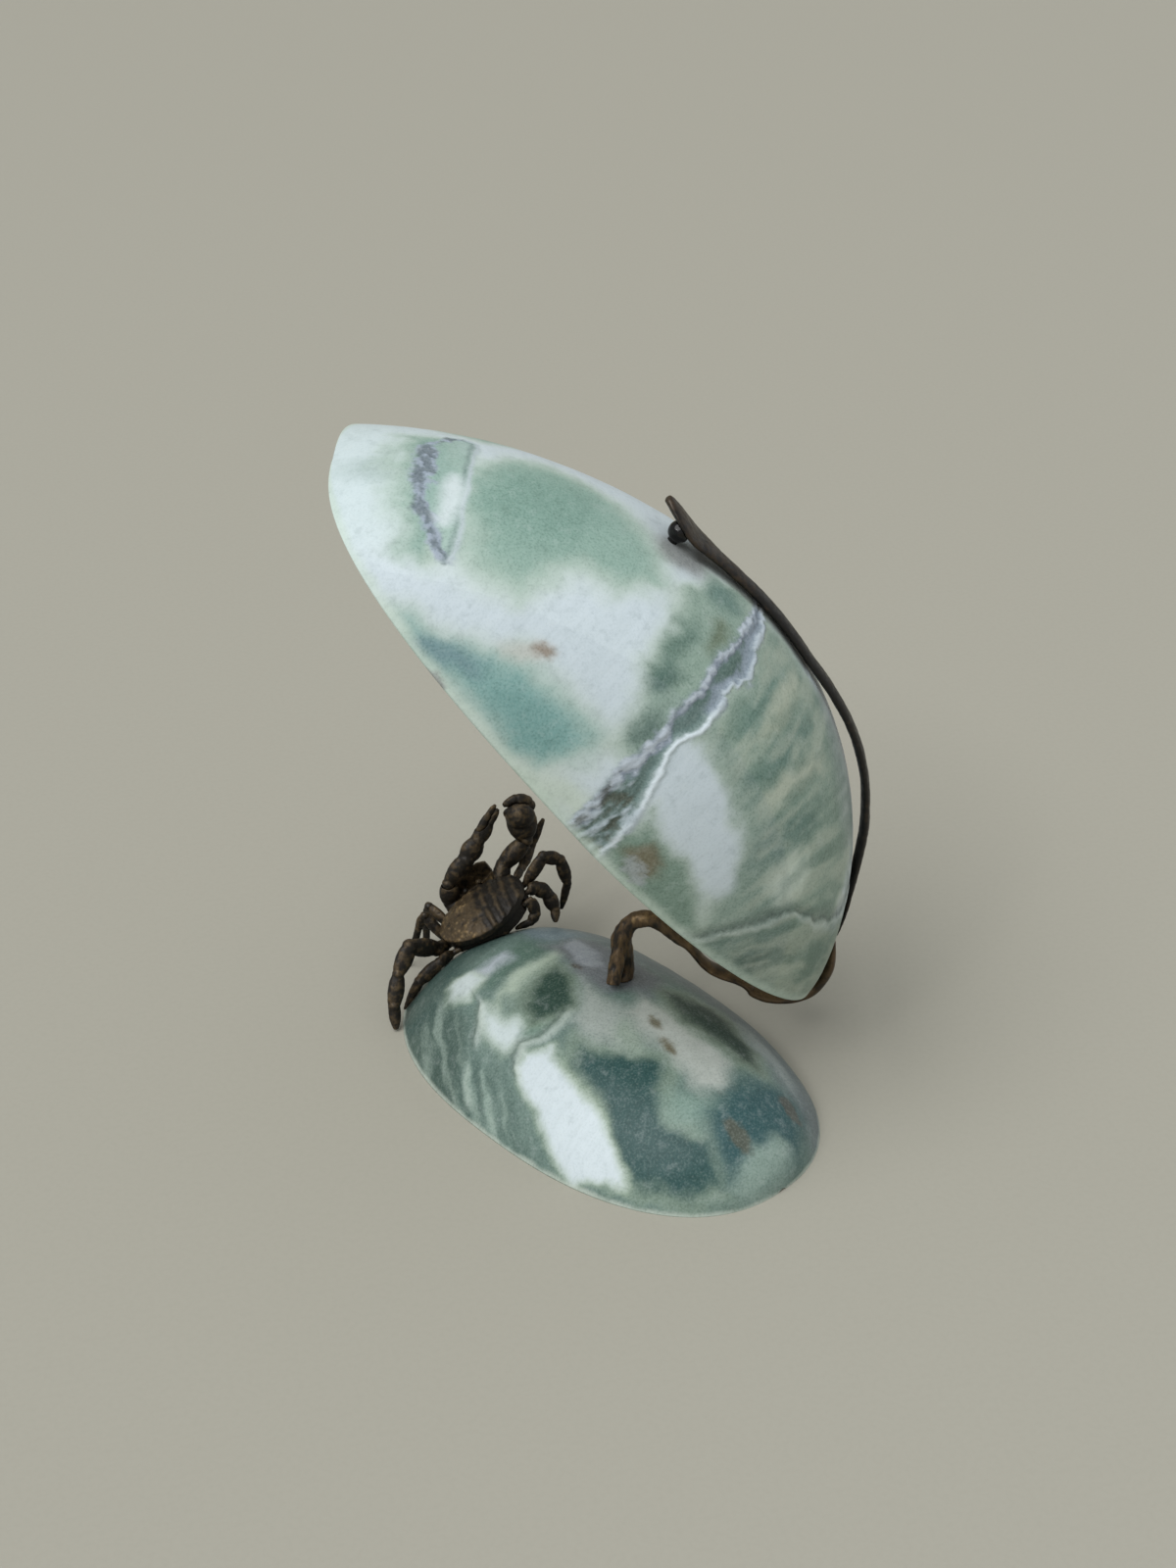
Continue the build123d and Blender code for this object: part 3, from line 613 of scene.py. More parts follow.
def main_scar(colours, along, round_ridge, fine, grain, crust, chunks):
    """The main scar's colours, its chalkiness and its relief."""
    below = across_line(along, round_ridge, SCAR_UPPER_LINE) + 0.7 * fine + 0.4 * grain
    above = across_line(along, round_ridge, SCAR_LOWER_LINE) + 0.5 * fine + 0.2 * grain
    lobes = np.clip((LOBES_END - round_ridge) / LOBES_FADE, 0, 1)
    crystals = np.clip((round_ridge - CRYSTALS_START) / CRYSTALS_FADE, 0, 1)
    lobe_place = round_ridge + 6 * fine
    above = above + 0.9 * lobes * np.abs(np.sin(np.pi * lobe_place / SCALLOP_PITCH)) - 0.4
    valley = np.minimum(-below, above)
    patchy = wander(flat(round_ridge, along * 0.3), 6, 6, 2)
    crust_width = 1.0 + 0.8 * patchy + 0.45 * crust
    sparkle = crust_width - 0.35 - np.abs(below + 0.3) + 0.5 * crust
    lobe_field = (1.5 + 0.5 * fine - np.abs(above - 1.0)) * lobes - 0.3 * (1 - lobes)
    whites = np.minimum(valley + 0.8, 1.8 * chunks + 0.4 * crust - 0.2) - 2 * (1 - crystals)
    hollows = np.minimum(valley, -1.8 * chunks - 0.4 * crust - 0.4) - 2 * (1 - crystals)
    colours = lay_all(
        colours,
        (valley + 0.6, (132, 150, 146), 0.9, 0.8),
        (valley - 0.7, (106, 130, 124), 0.9, 1.0),
        (valley - 1.9, (90, 112, 104), 0.9, 0.8),
        (crust_width - np.abs(below + 0.5), LAVENDER, 0.5, 1.0),
        (sparkle, (206, 216, 224), 0.35, 0.8),
        (lobe_field, (146, 158, 170), 0.5, 0.9),
        (0.45 - np.abs(above) + 0.2 * crust, (220, 231, 236), 0.35, 1 - 0.45 * lobes),
        (whites, (184, 196, 203), 0.5, 0.85),
        (hollows, (80, 80, 66), 0.5, 0.75),
    )
    floor_share = np.clip(valley / 1.4, 0, 1)
    chalk = 0.9 * bump((below + 0.5) / 1.6) + 0.6 * floor_share * crystals + 0.5 * lobes * bump(above / 2)
    relief = -0.42 * floor_share + 0.35 * bump((below + 0.4) / 1.3) * (0.4 + crust)
    relief += 0.22 * bump(above / 0.8) + 0.5 * crystals * floor_share * (0.6 * chunks + 0.4 * crust)
    return colours, np.clip(chalk, 0, 1), relief


print("scallops from the ridge on:", round(LOBES_END / SCALLOP_PITCH, 1))

# %% [markdown]
# ## The tip scar
#
# The leaf between its two lines is greenish, with a grey crust along its upper side, a bright edge
# along its lower side and a white lens in its middle. It is made like the main scar, only shallower.


# %% Tip scar
def tip_scar(colours, along, round_ridge, fine, crust):
    """The tip scar's colours, its chalkiness and its relief."""
    below = across_line(along, round_ridge, TIP_UPPER_LINE) + 0.5 * fine
    above = across_line(along, round_ridge, TIP_LOWER_LINE) + 0.3 * fine
    ends = np.minimum(round_ridge - TIP_UPPER_LINE[0][0], TIP_UPPER_LINE[-1][0] - round_ridge)
    leaf = np.minimum(np.minimum(-below, above), ends)
    crusty = np.minimum(1.1 + 0.6 * crust + 1.2 * fine - np.abs(below + 0.6), ends)
    lens = inside(along, round_ridge, ring(55.6, 13.0, 1.6, 7.0, 8))
    colours = lay_all(
        colours,
        (leaf, (160, 188, 178), 0.9, 0.7),
        (crusty, (164, 174, 190), 0.6, 0.9),
        (crusty - 0.5 - 1.6 * crust, (96, 108, 112), 0.5, 0.7),
        (np.minimum(0.32 - np.abs(above), ends), (192, 204, 208), 0.35, 0.9),
        (np.minimum(0.3 - np.abs(above - 0.7), ends), (116, 136, 134), 0.4, 0.6),
        (lens + 0.4 * fine, (214, 226, 226), 1.2, 1.0),
    )
    chalk = 0.8 * np.clip(crusty + 0.3, 0, 1)
    relief = -0.12 * np.clip(leaf / 1.2, 0, 1) + 0.25 * np.clip(crusty + 0.2, 0, 1) * crust
    return colours, chalk, relief


print("tip scar, round the shell:", TIP_UPPER_LINE[-1][0] - TIP_UPPER_LINE[0][0], "mm")

# %% [markdown]
# ## Growth line and small marks
#
# Below the scars runs a thin dark line, where the shell took up its growth again. A broad soft dark
# wash above it is painted shade of the small step there, and the pale lip below it is painted light on
# the step's edge.
# Small flakes, chips and stains lie elsewhere, and a dark band along the strap is its painted shadow
# and reflection on the shell. One outline and one wash make each of them, which is quicker than a mask
# painted by hand and just as soft.

# %% Growth line and small marks
# Reach of the strap's painted shadow and reflection on the shell, round and along.
STRAP_SHADOW_HALF = 3.1
STRAP_SHADOW_ENDS = (-12, 18)


def growth_line(colours, along, round_ridge, fine):
    """The growth line's colours, with painted shade above its step and painted light on its lip, and its
    relief.
    """
    line = across_line(along, round_ridge, GROWTH_LINE) + 0.9 * fine
    colours = lay_all(
        colours,
        # painted shade above the line's step
        (1.1 - np.abs(line - 0.9), (100, 119, 111), 1.3, 0.5),
        (0.25 - np.abs(line - 0.2), (76, 90, 84), 0.5, 0.8),
        # painted light on the step's raised lip
        (0.3 - np.abs(line + 0.7), (198, 210, 204), 0.6, 0.7),
    )
    return colours, 0.14 * bump((line + 0.7) / 1.4) - 0.18 * bump((line - 0.6) / 1.1)


def small_marks(colours, along, round_ridge, to_rim, fine, grain, crust):
    """The colours of the pale rim, flakes and stains, the strap's painted shadow and reflection, and the
    relief of the chips.
    """
    low_end, high_end = STRAP_SHADOW_ENDS
    # Where the strap's painted shadow and reflection lie on the shell beside it.
    strap_shadow = np.minimum(STRAP_SHADOW_HALF - np.abs(round_ridge), np.minimum(high_end - along, along - low_end))
    halo = inside(along, round_ridge, ring(33, 37.6, 3.4, 2.4, 30)) + 0.8 * fine
    spot = inside(along, round_ridge, ring(31.5, 36.4, 1.7, 1.1)) + 0.7 * grain
    chips = inside(along, round_ridge, ring(40, 49, 3.2, 1.3, -25)) + 0.7 * crust
    flakes = inside(along, round_ridge, ring(-9, 57.5, 4.2, 2.6)) + 1.4 * crust
    stain = inside(along, round_ridge, ring(20.5, 4.4, 5.2, 4.4, 10)) + 0.8 * fine
    colours = lay_all(
        colours,
        (1.5 - to_rim + 0.6 * fine, (204, 220, 206), 1.2, 0.7),
        (halo, (198, 194, 186), 1.6, 0.6),
        (spot, (142, 126, 110), 0.9, 0.85),
        (chips, (164, 168, 164), 0.5, 1.0),
        (flakes - 0.8, (170, 178, 180), 0.6, 0.8),
        (stain, STAIN, 2.2, 0.7),
        # painted shadow and reflection of the strap
        (strap_shadow + 0.4 * fine, (84, 84, 78), 0.9, 0.75),
    )
    return colours, -0.2 * np.clip(chips, 0, 1)


print("growth line's lowest point:", min(line_along for _, line_along in GROWTH_LINE), "mm along")

# %% [markdown]
# ## Painting the upper shell
#
# All layers come together here: first the clouds, then the fine streaks of the green parts, then
# scars, line and marks. An image painted by hand could do it too, but it would need a flat unwrapped
# map and could not raise the surface. Colour is stored at each point of the fine sheet instead.

# %% Painting the upper shell
STREAKY = [(1, 4), (1, 34), (-20, 36), (-28, 42), (-36, 56), (-66, 20), (-60, 4), (-30, 5)]
STREAK_SLANT = 0.6
STREAK_BEND = 45
STREAK_FADE = 6


def paint_upper(points, along, round_ridge, to_rim):
    """Colours, chalkiness and relief, in millimetres, of the upper shell's outside."""
    broad = wander(points, 13, 1)
    broad_round = wander(points, 13, 2)
    fine = wander(points, 4, 3)
    grain = wander(points, 1.3, 4)
    crust = wander(points, 1.3, 5, 3)
    chunks = wander(flat(along + 0.6 * fine, 0.35 * round_ridge), 1.7, 7, 3)
    stirred = along + 2.0 * broad + 1.1 * fine + 0.3 * grain
    stirred_round = round_ridge + 2.2 * broad_round - 1.1 * fine + 0.3 * grain
    colours = np.tile(paint(*WHITE), (len(points), 1))
    colours = wash(colours, stirred, stirred_round, UPPER_CLOUDS)
    slanted = along - STREAK_SLANT * round_ridge * np.clip(-along / STREAK_BEND, 0, 1)
    threads = wander(flat(slanted, 0.30 * round_ridge), 3.0, 8, 3)
    streaky = np.clip(0.5 + inside(stirred, stirred_round, STREAKY) / STREAK_FADE, 0, 1)
    colours = lay_all(
        colours,
        (threads - 0.20, (188, 197, 180), 0.45, 0.5 * streaky),
        (-threads - 0.22, (104, 130, 117), 0.45, 0.5 * streaky),
    )
    colours, chalk, relief = main_scar(colours, along, round_ridge, fine, grain, crust, chunks)
    colours, tip_chalk, tip_relief = tip_scar(colours, along, round_ridge, fine, crust)
    chalk = np.maximum(chalk, tip_chalk)
    relief = relief + tip_relief + 0.10 * broad + 0.03 * fine
    colours, line_relief = growth_line(colours, along, round_ridge, fine)
    colours, chip_relief = small_marks(colours, along, round_ridge, to_rim, fine, grain, crust)
    return colours, chalk, relief + line_relief + chip_relief


print("streaks slant by", round(math.degrees(math.atan(STREAK_SLANT))), "degrees")

# %% [markdown]
# ## The base shell's colours
#
# The base is darker: a dark teal end under the crab, white and green diagonals, a bright white
# streak down to the rim, a big teal cloud, painted grey-lavender shade of the upper shell round the
# stem's foot and a blue-green end.
# Two soft creases run down its near side. The same helpers paint it, with outlines of its own.

# %% Base shell's colours
BASE_GROUND = (108, 130, 122)
BASE_CLOUDS = [
    ("grey far side", [(-48, 8), (-20, 10), (10, 18), (46, 12), (48, 30), (20, 44), (-30, 42)],
     (114, 125, 127), 5.0),
    ("dark crab end",
     [(-50, -32), (-50, 22), (-36, 18), (-29, 4), (-30, -8), (-25, -21), (-28, -36)],
     (70, 92, 86), 3.5),
    ("dark left", [(-27, -20), (-18, -20), (-13, -27), (-8, -37), (-20, -40), (-32, -32)],
     (82, 102, 94), 2.5),
    ("first light streak", [(-12.4, -27.3), (-10.6, -28.2), (-5.6, -34.4), (-7.4, -35)],
     (166, 182, 172), 1.0),
    ("second light streak", [(-7.6, -27.6), (-5.8, -28.4), (0.6, -36.6), (-1.2, -37.4)],
     (150, 170, 160), 1.0),
    ("yellow green diagonal", [(-17, 3), (-14, 1.5), (-13, -5), (-12, -11), (-14, -15), (-17, -9)],
     (178, 193, 176), 2.2),
    ("green diagonal", [(-24, 5), (-18, 4), (-17, -5), (-19, -13), (-23, -11), (-23, -3)],
     (92, 118, 106), 2.2),
    ("blue grey ridge", [(-30, 4), (-22, 3), (-17, 8), (-19, 14), (-28, 12)],
     (124, 140, 146), 2.4),
    ("lavender shoulder", [(-27, -12), (-22, -11), (-21, -5), (-24, -4)], (178, 187, 194), 2.0),
    ("shoulder white", [(-28.7, -15.9), (-26.6, -12.1), (-22.5, -11.9), (-21.5, -16.8), (-25.8, -18.7)],
     (204, 215, 214), 1.6, 0.8),
    ("upper white", [(-16.7, -16.5), (-8.1, -16.3), (-3.7, -17), (-6.1, -22.3), (-11.2, -21.2)],
     (206, 218, 218), 2.0, 0.8),
    ("green by the crease", [(-6, -13), (-1, -9), (0.5, -14), (-2, -18), (-5, -18)],
     (112, 137, 124), 1.8),
    ("dark green blob", [(-13, -2), (-7, -1.5), (-1, -7), (-2, -12), (-5, -14.5), (-10, -13), (-11, -8)],
     DARK_GREEN, 2.4, 0.4),
    ("big teal cloud",
     [(5.9, -11.9), (9.7, -17.4), (19.1, -19.9), (31, -27), (40, -21), (44, -11), (38, -9), (31, -12),
      (25, -9.5), (22.2, -4.6), (15, -8.5), (11.2, -11.5)], DEEP_TEAL, 2.6, 1.0),
    ("pale wisp", ring(31, -7.5, 4.5, 2.8, 30), (130, 155, 144), 3.4),
    ("white streak",
     [(-1.3, -20.5), (3.5, -16.7), (14.3, -20.5), (24.6, -22.8), (30.2, -27.5), (21.3, -34.9),
      (12.6, -30.2), (0.4, -24.6)], (212, 223, 227), 1.4, 0.9),
    ("pale by the stem",
     [(-7, 1.5), (0, -1), (6, -2), (10, -4), (14, -8), (8, -10.5), (2, -10), (-0.5, -6), (-4, -1.5)],
     (168, 177, 171), 2.4),
    ("pale middle", ring(13, -5.5, 4, 2.6, -15), (156, 171, 158), 2.4),
    ("pale right",
     [(5, 4), (12, 5.5), (20, 6.2), (29, 5.5), (33, 1), (29, -3.5), (22, -3.5), (15, -3), (8, -2.5)],
     (184, 190, 183), 2.4),
    ("dark band", [(5, 10), (14, 16), (26, 16), (32, 10), (30, 7.6), (22, 7.4), (12, 6.2)],
     (58, 74, 66), 3.0, 0.8),
    ("pale behind the band", ring(28, 17.8, 9, 2.4, -8), (150, 160, 158), 2.2),
    ("blue end", [(33, -6), (34, 8), (40, 14.5), (47, 6), (48, -4), (44, -10), (38, -9)],
     (58, 91, 93), 3.0),
    ("pale rim end", ring(46, -3, 2.6, 7), (140, 160, 150), 2.0),
    # painted shade of the upper shell, which hangs over the base's top round the stem
    ("grey round the stem", [(-20, 2), (-18, 10), (-6, 14), (4, 13), (6, 6), (0, 1), (-8, 0)],
     (118, 123, 127), 2.6),
    ("bright grey flake", [(-17.2, 4.3), (-18.1, 8.8), (-9.5, 7.8), (-4.9, 5.4), (-9.7, 2.8)],
     (152, 158, 164), 1.0),
    ("far teal", ring(16, 34, 20, 5, 8), DEEP_TEAL, 3.0, 1.0),
    ("far white", ring(-10, 31, 11, 5, 10), (196, 207, 207), 3.0),
    ("far green", ring(-27, 24, 7, 6), (92, 118, 106), 3.0),
]
LEFT_STREAKS = [(-31, -16), (-23, -19), (-14, -25), (-4, -25), (3, -30), (14, -38), (0, -44), (-26, -38)]
CREASES = (
    ((-25.8, -13.1), (-20.2, -16), (-16.9, -18.9), (-14.3, -24.2)),
    ((-26.2, 0.6), (-22.4, -3.5), (-19.2, -4.4), (-16.1, -1.8), (-12, -1.1), (-6.9, -2)),
)
CREASE_FADE = 2.5
BASE_FLAKES = [
    ("by the stem", ring(13.3, 0.9, 2.2, 0.8, -15), BROWN),
    ("right of the stem", ring(19.4, -1.5, 2.4, 0.7, -15), BROWN),
    ("brown cloud at the end", ring(40.2, -4.2, 3.2, 1.8), (92, 94, 82)),
    ("brown cloud at the far end", ring(40.3, 10.5, 2.6, 1.8), (94, 94, 86)),
    ("left of the stem", ring(-8.8, 1.2, 1.4, 0.6), DARK_BROWN),
]
print("clouds on the base shell:", len(BASE_CLOUDS))

# %% [markdown]
# ## Painting the base shell
#
# On the near left side, fine threads run slantwise. They come from noise that is stretched along one
# diagonal, because single threads drawn by hand would look combed. Each crease is a dark fold of
# painted shade with a pale ridge of painted light beside it, and it fades at both ends.


# %% Painting the base shell
def paint_base(points, along, round_ridge, to_rim):
    """Colours, chalkiness and relief, in millimetres, of the base shell's outside."""
    broad = wander(points, 11, 11)
    broad_round = wander(points, 11, 12)
    fine = wander(points, 3.5, 13)
    grain = wander(points, 1.2, 14)
    stirred = along + 1.5 * broad + 0.8 * fine + 0.25 * grain
    stirred_round = round_ridge + 1.5 * broad_round - 0.8 * fine + 0.25 * grain
    colours = np.tile(paint(*BASE_GROUND), (len(points), 1))
    colours = wash(colours, stirred, stirred_round, BASE_CLOUDS)
    across_grain = (along + round_ridge) / math.sqrt(2)
    with_grain = (along - round_ridge) / math.sqrt(2)
    threads = wander(flat(across_grain + 0.8 * fine, 0.14 * with_grain), 2.0, 16, 4)
    streaky = np.clip(0.5 + inside(stirred, stirred_round, LEFT_STREAKS) / STREAK_FADE, 0, 1)
    colours = lay_all(
        colours,
        (threads - 0.25, (160, 177, 166), 0.5, 0.5 * streaky),
        (-threads - 0.15, (62, 84, 77), 0.5, 0.5 * streaky),
        (0.7 - to_rim + 0.4 * fine, (190, 200, 188), 0.6, 0.8),
    )
    chalk = np.zeros(len(points))
    relief = 0.12 * broad + 0.04 * fine
    for line in CREASES:
        fold = across_line(along, round_ridge, line) + 0.4 * fine + 0.15 * grain
        ends = np.minimum(round_ridge - line[0][0], line[-1][0] - round_ridge)
        shown = np.clip(ends / CREASE_FADE, 0, 1)
        colours = lay_all(
            colours,
            # painted shade in the fold
            (0.4 - np.abs(fold), (92, 108, 100), 0.6, 0.8 * shown),
            # painted light on the ridge beside the fold
            (0.8 - np.abs(fold - 1.5), (204, 215, 208), 1.1, 0.6 * shown),
        )
        relief += shown * (0.22 * bump((fold - 1.4) / 1.6) - 0.28 * bump(fold / 0.9))
    for name, outline, tint in BASE_FLAKES:
        flake = inside(along, round_ridge, outline) + 0.5 * grain + 0.4 * fine
        colours = lay(colours, flake, tint, 0.7, 0.85)
        relief -= 0.10 * np.clip(flake, 0, 1)
    return colours, chalk, relief


print("creases:", len(CREASES), "flakes:", len(BASE_FLAKES))

# %% [markdown]
# ## The polished outside
#
# Polished shell has a soft gloss and a fine grain. Faint streaks run across it, parallel to its growth
# bands, and the scars are chalky. The stored colours are too coarse for the grain, so noise in the
# material adds it: a mottle, and specks that are stronger where the shell is dark.

# %% Polished outside
SHELL_GLOSS = 0.28
STREAK_SCALE = (60.0, 8.0, 1.0)


def shell_outside(name):
    """Polished shell, from its stored colours and chalkiness."""
    material, tree, shader = new_material(name)
    pigment = stored(tree, "pigment", "Color")
    growth = add_node(tree, "ShaderNodeUVMap", {"uv_map": "growth"}).outputs["UV"]
    streak_place = add_node(tree, "ShaderNodeMapping", Vector=growth, Scale=STREAK_SCALE).outputs[0]
    streaks = cloudy(tree, streak_place, 1.0, 3.0, Roughness=0.6, Distortion=0.9)
    place = own_place(tree)
    mottle = cloudy(tree, place, 420.0, 6.0, Roughness=0.68)
    specks = cloudy(tree, place, 2400.0, 2.0)
    shade = mix(tree, steps(tree, streaks, 0.42, 0.70, 0.0, 0.07), pigment, paint(120, 140, 128), "MULTIPLY")
    shade = mix(tree, steps(tree, mottle, 0.50, 0.74, 0.0, 0.12), shade, paint(226, 234, 232))
    shade = mix(tree, steps(tree, mottle, 0.50, 0.28, 0.0, 0.16), shade, paint(110, 128, 120), "MULTIPLY")
    paleness = add_node(tree, "ShaderNodeRGBToBW", Color=pigment).outputs[0]
    for low, high, most, least, tint, blend in (
        (0.48, 0.72, 0.28, 0.08, paint(110, 130, 120), "MULTIPLY"),
        (0.50, 0.30, 0.08, 0.00, paint(206, 218, 208), "MIX"),
    ):
        strength = steps(tree, paleness, 0.3, 0.75, most, least)
        share = reckon(tree, "MULTIPLY", steps(tree, specks, low, high), strength)
        shade = mix(tree, share, shade, tint, blend)
    rough = steps(tree, stored(tree, "chalk"), 0.15, 0.9, 0.42, 0.66)
    rise = add_node(tree, "ShaderNodeBump", Strength=0.10, Distance=0.0003,
                    Height=reckon(tree, "ADD", mottle, specks)).outputs[0]
    fill(tree, shader, Base_Color=shade, Roughness=rough, Specular_IOR_Level=SHELL_GLOSS, Normal=rise)
    return material


# %% [markdown]
# ## Pearl and rim
#
# Inside, the shell is pearly: pale, smooth and faintly tinted in soft bands. The cut rim shows the
# shell's layers, so it is duller and grainy. Both are plain colours moved about by noise, which is
# enough, because neither is seen close by.


# %% Pearl and rim
def shell_inside(name):
    """Mother of pearl."""
    material, tree, shader = new_material(name)
    place = own_place(tree)
    bands = cloudy(tree, place, 90.0, 4.0, Distortion=1.2)
    sheen = cloudy(tree, place, 45.0, 2.0)
    pearl = mix(tree, steps(tree, bands, 0.35, 0.65), paint(226, 222, 214), paint(200, 212, 206))
    pearl = mix(tree, steps(tree, sheen, 0.45, 0.70, 0.0, 0.5), pearl, paint(218, 200, 204))
    fill(tree, shader, Base_Color=pearl, Roughness=0.26)
    return material


def shell_rim(name):
    """The ground edge of the shell."""
    material, tree, shader = new_material(name)
    layers = cloudy(tree, own_place(tree), 900.0, 3.0)
    edge = mix(tree, steps(tree, layers, 0.34, 0.70), paint(208, 203, 187), paint(186, 180, 164))
    fill(tree, shader, Base_Color=edge, Roughness=0.5)
    return material


# %% [markdown]
# ## The sheets of a shell
#
# The outside sheet is bent over the pod, painted, and displaced along its normals by the relief. A
# solidify modifier could give it a wall, but then the inside would copy every scar. So the inside is a
# sheet of its own, smooth, and coarser because it can be.

# %% Sheets of a shell
ROWS = 300
COLUMNS = 280
INNER_ROWS = 96
INNER_COLUMNS = 60
RELIEF_FADE = 1.5
GROWTH_UNIT = 100


def add_outside(bm, pod, scars, painter):
    """The outside sheet, raised by its relief. Returns its faces, growth map, colours and chalkiness."""
    rows = crowded_rows(pod, ROWS, scars)
    verts, along, round_ridge, to_rim = add_pod_sheet(bm, pod, rows, COLUMNS)
    faces = list(bm.faces)
    if faces[len(faces) // 2].normal.z < 0:
        bmesh.ops.reverse_faces(bm, faces=faces)
    bm.normal_update()
    points = np.array([vert.co for vert in verts])
    colours, chalk, relief = painter(points, along, round_ridge, to_rim)
    relief = relief * np.clip(to_rim / RELIEF_FADE, 0, 1)
    for vert, rise in zip(verts, relief):
        vert.co += vert.normal * rise
    return faces, np.stack([along, round_ridge], axis=1) / GROWTH_UNIT, colours, chalk


def add_inside(bm, pod):
    """The inside sheet, which faces the hollow. Returns its faces and its open edges."""
    sheet, *_ = add_pod_sheet(bm, pod, crowded_rows(pod, INNER_ROWS, ()), INNER_COLUMNS)
    verts = set(sheet)
    faces = [face for face in bm.faces if face.verts[0] in verts]
    bm.normal_update()
    if faces[len(faces) // 2].normal.z > 0:
        bmesh.ops.reverse_faces(bm, faces=faces)
    return faces, [edge for edge in bm.edges if edge.is_boundary and edge.verts[0] in verts]


print("faces outside:", ROWS * COLUMNS, "and inside:", INNER_ROWS * INNER_COLUMNS)

# %% [markdown]
# ## Building the two shells
#
# Bridging the open edges of the two sheets makes the flat rim, so each shell is one closed wall. The
# growth becomes a UV map, and colours and chalkiness are stored at the points, where the material
# finds them. The whole is turned from the pod's own axes to its place.

# %% Build the shells
SCAR_MIDDLE = 4.0
TIP_SCAR_MIDDLE = 57.0


def build_shell(name, pod, place, scars, painter):
    """A shell of two sheets and the rim between them, painted and put in its place."""
    bm = bmesh.new()
    outer_faces, growth, colours, chalk = add_outside(bm, pod, scars, painter)
    outer_edge = [edge for edge in bm.edges if edge.is_boundary]
    inner_faces, inner_edge = add_inside(bm, inner_pod(pod))
    rim = bmesh.ops.bridge_loops(bm, edges=outer_edge + inner_edge)
    for number, faces in enumerate((outer_faces, inner_faces, rim["faces"])):
        for face in faces:
            face.material_index = number
            face.smooth = faces is not rim["faces"]
    uv = bm.loops.layers.uv.new("growth")
    bm.verts.index_update()
    for face in outer_faces:
        for loop in face.loops:
            loop[uv].uv = growth[loop.vert.index]
    bmesh.ops.transform(bm, matrix=Matrix.Scale(MM, 4) @ place, verts=bm.verts)

    shell = make_object(name, bm)
    data = shell.data
    pigment = np.ones((len(data.vertices), 4), np.float32)
    pigment[:len(growth), :3] = np.clip(colours, 0, 1)
    data.color_attributes.new("pigment", "FLOAT_COLOR", "POINT").data.foreach_set("color", pigment.ravel())
    chalky = np.zeros(len(data.vertices), np.float32)
    chalky[:len(growth)] = chalk
    data.attributes.new("chalk", "FLOAT", "POINT").data.foreach_set("value", chalky)
    for finish in (shell_outside(name + " outside"), shell_inside(name + " pearl"), shell_rim(name + " rim")):
        data.materials.append(finish)
    print(name, "faces:", len(data.polygons), "rim faces:", len(rim["faces"]))
    return shell


upper_shell = build_shell(
    "upper_shell_polished", UPPER_POD, UPPER_PLACE, (SCAR_MIDDLE, TIP_SCAR_MIDDLE), paint_upper)
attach(upper_shell, "root")
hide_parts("upper_shell")
base_shell = build_shell("base_shell_polished", BASE_POD, BASE_PLACE, (), paint_base)
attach(base_shell, "root")
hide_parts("base_shell")

# %% [markdown]
# ## Working the bronze
#
# The twig, the strap and the crab are cast and chased by hand, so no face of them is smooth. The
# faces of the solids are too long and uneven to be worked. So each piece is a copy with an even skin
# of small quads, made by a voxel remesh, which is pushed in and out along its normals. High places
# are remembered, because hands rub the dark patina off them and the brown metal shows.

# %% Bronze helpers
SKIN_TURNS = 4
WELD_REACH = 1e-7


def relax(bm, turns):
    """Smooth a skin a number of times."""
    for turn in range(turns):
        bmesh.ops.smooth_vert(bm, verts=bm.verts, factor=0.5,
                              use_axis_x=True, use_axis_y=True, use_axis_z=True)
    bm.normal_update()


def even_skin(node, voxel, patch=None):
    """Mesh copy of a node, in millimetres, with an even skin, its voxel steps smoothed away.

    A patch is the place and size of a small ball that is melted into the skin.
    """
    bm = bmesh.new()
    bm.from_mesh(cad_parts[node].data)
    bmesh.ops.remove_doubles(bm, verts=bm.verts, dist=WELD_REACH)
    bmesh.ops.scale(bm, vec=(1 / MM, 1 / MM, 1 / MM), verts=bm.verts)
    if patch is not None:
        bmesh.ops.create_icosphere(bm, subdivisions=3, radius=1.0, matrix=patch)
    carrier = make_object(node + " carrier", bm)
    data = carrier.data
    remesh = carrier.modifiers.new("even skin", "REMESH")
    remesh.mode = "VOXEL"
    remesh.voxel_size = voxel
    graph = bpy.context.evaluated_depsgraph_get()
    skin = bpy.data.meshes.new_from_object(carrier.evaluated_get(graph))
    bpy.data.objects.remove(carrier)
    bpy.data.meshes.remove(data)
    even = bmesh.new()
    even.from_mesh(skin)
    bpy.data.meshes.remove(skin)
    relax(even, SKIN_TURNS)
    return even


# %% [markdown]
# ## From skin to piece
#
# A worked skin becomes a piece of the scene: it rides on the ornament's body and stands for its node.
# A modifier could push the skin out, but then how rubbed each point is would have to be worked out a
# second time, so the same numbers do both here.


# %% From skin to piece
def skin_points(bm):
    """Places and normals of a skin's points."""
    return np.array([vert.co for vert in bm.verts]), np.array([vert.normal for vert in bm.verts])


def finish_bronze(bm, name, node, relief, rub, finish):
    """Push a skin out by its relief, keep how rubbed it is, and put it in the scene for its node."""
    for vert, rise in zip(list(bm.verts), relief):
        vert.co += vert.normal * rise
    for face in bm.faces:
        face.smooth = True
    bmesh.ops.scale(bm, vec=(MM, MM, MM), verts=bm.verts)
    piece = make_object(name, bm)
    worn = np.clip(rub, 0, 1).astype(np.float32)
    piece.data.attributes.new("rub", "FLOAT", "POINT").data.foreach_set("value", worn)
    piece.data.materials.append(finish)
    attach(piece, "root")
    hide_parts(node)
    print(name, "faces:", len(piece.data.polygons))


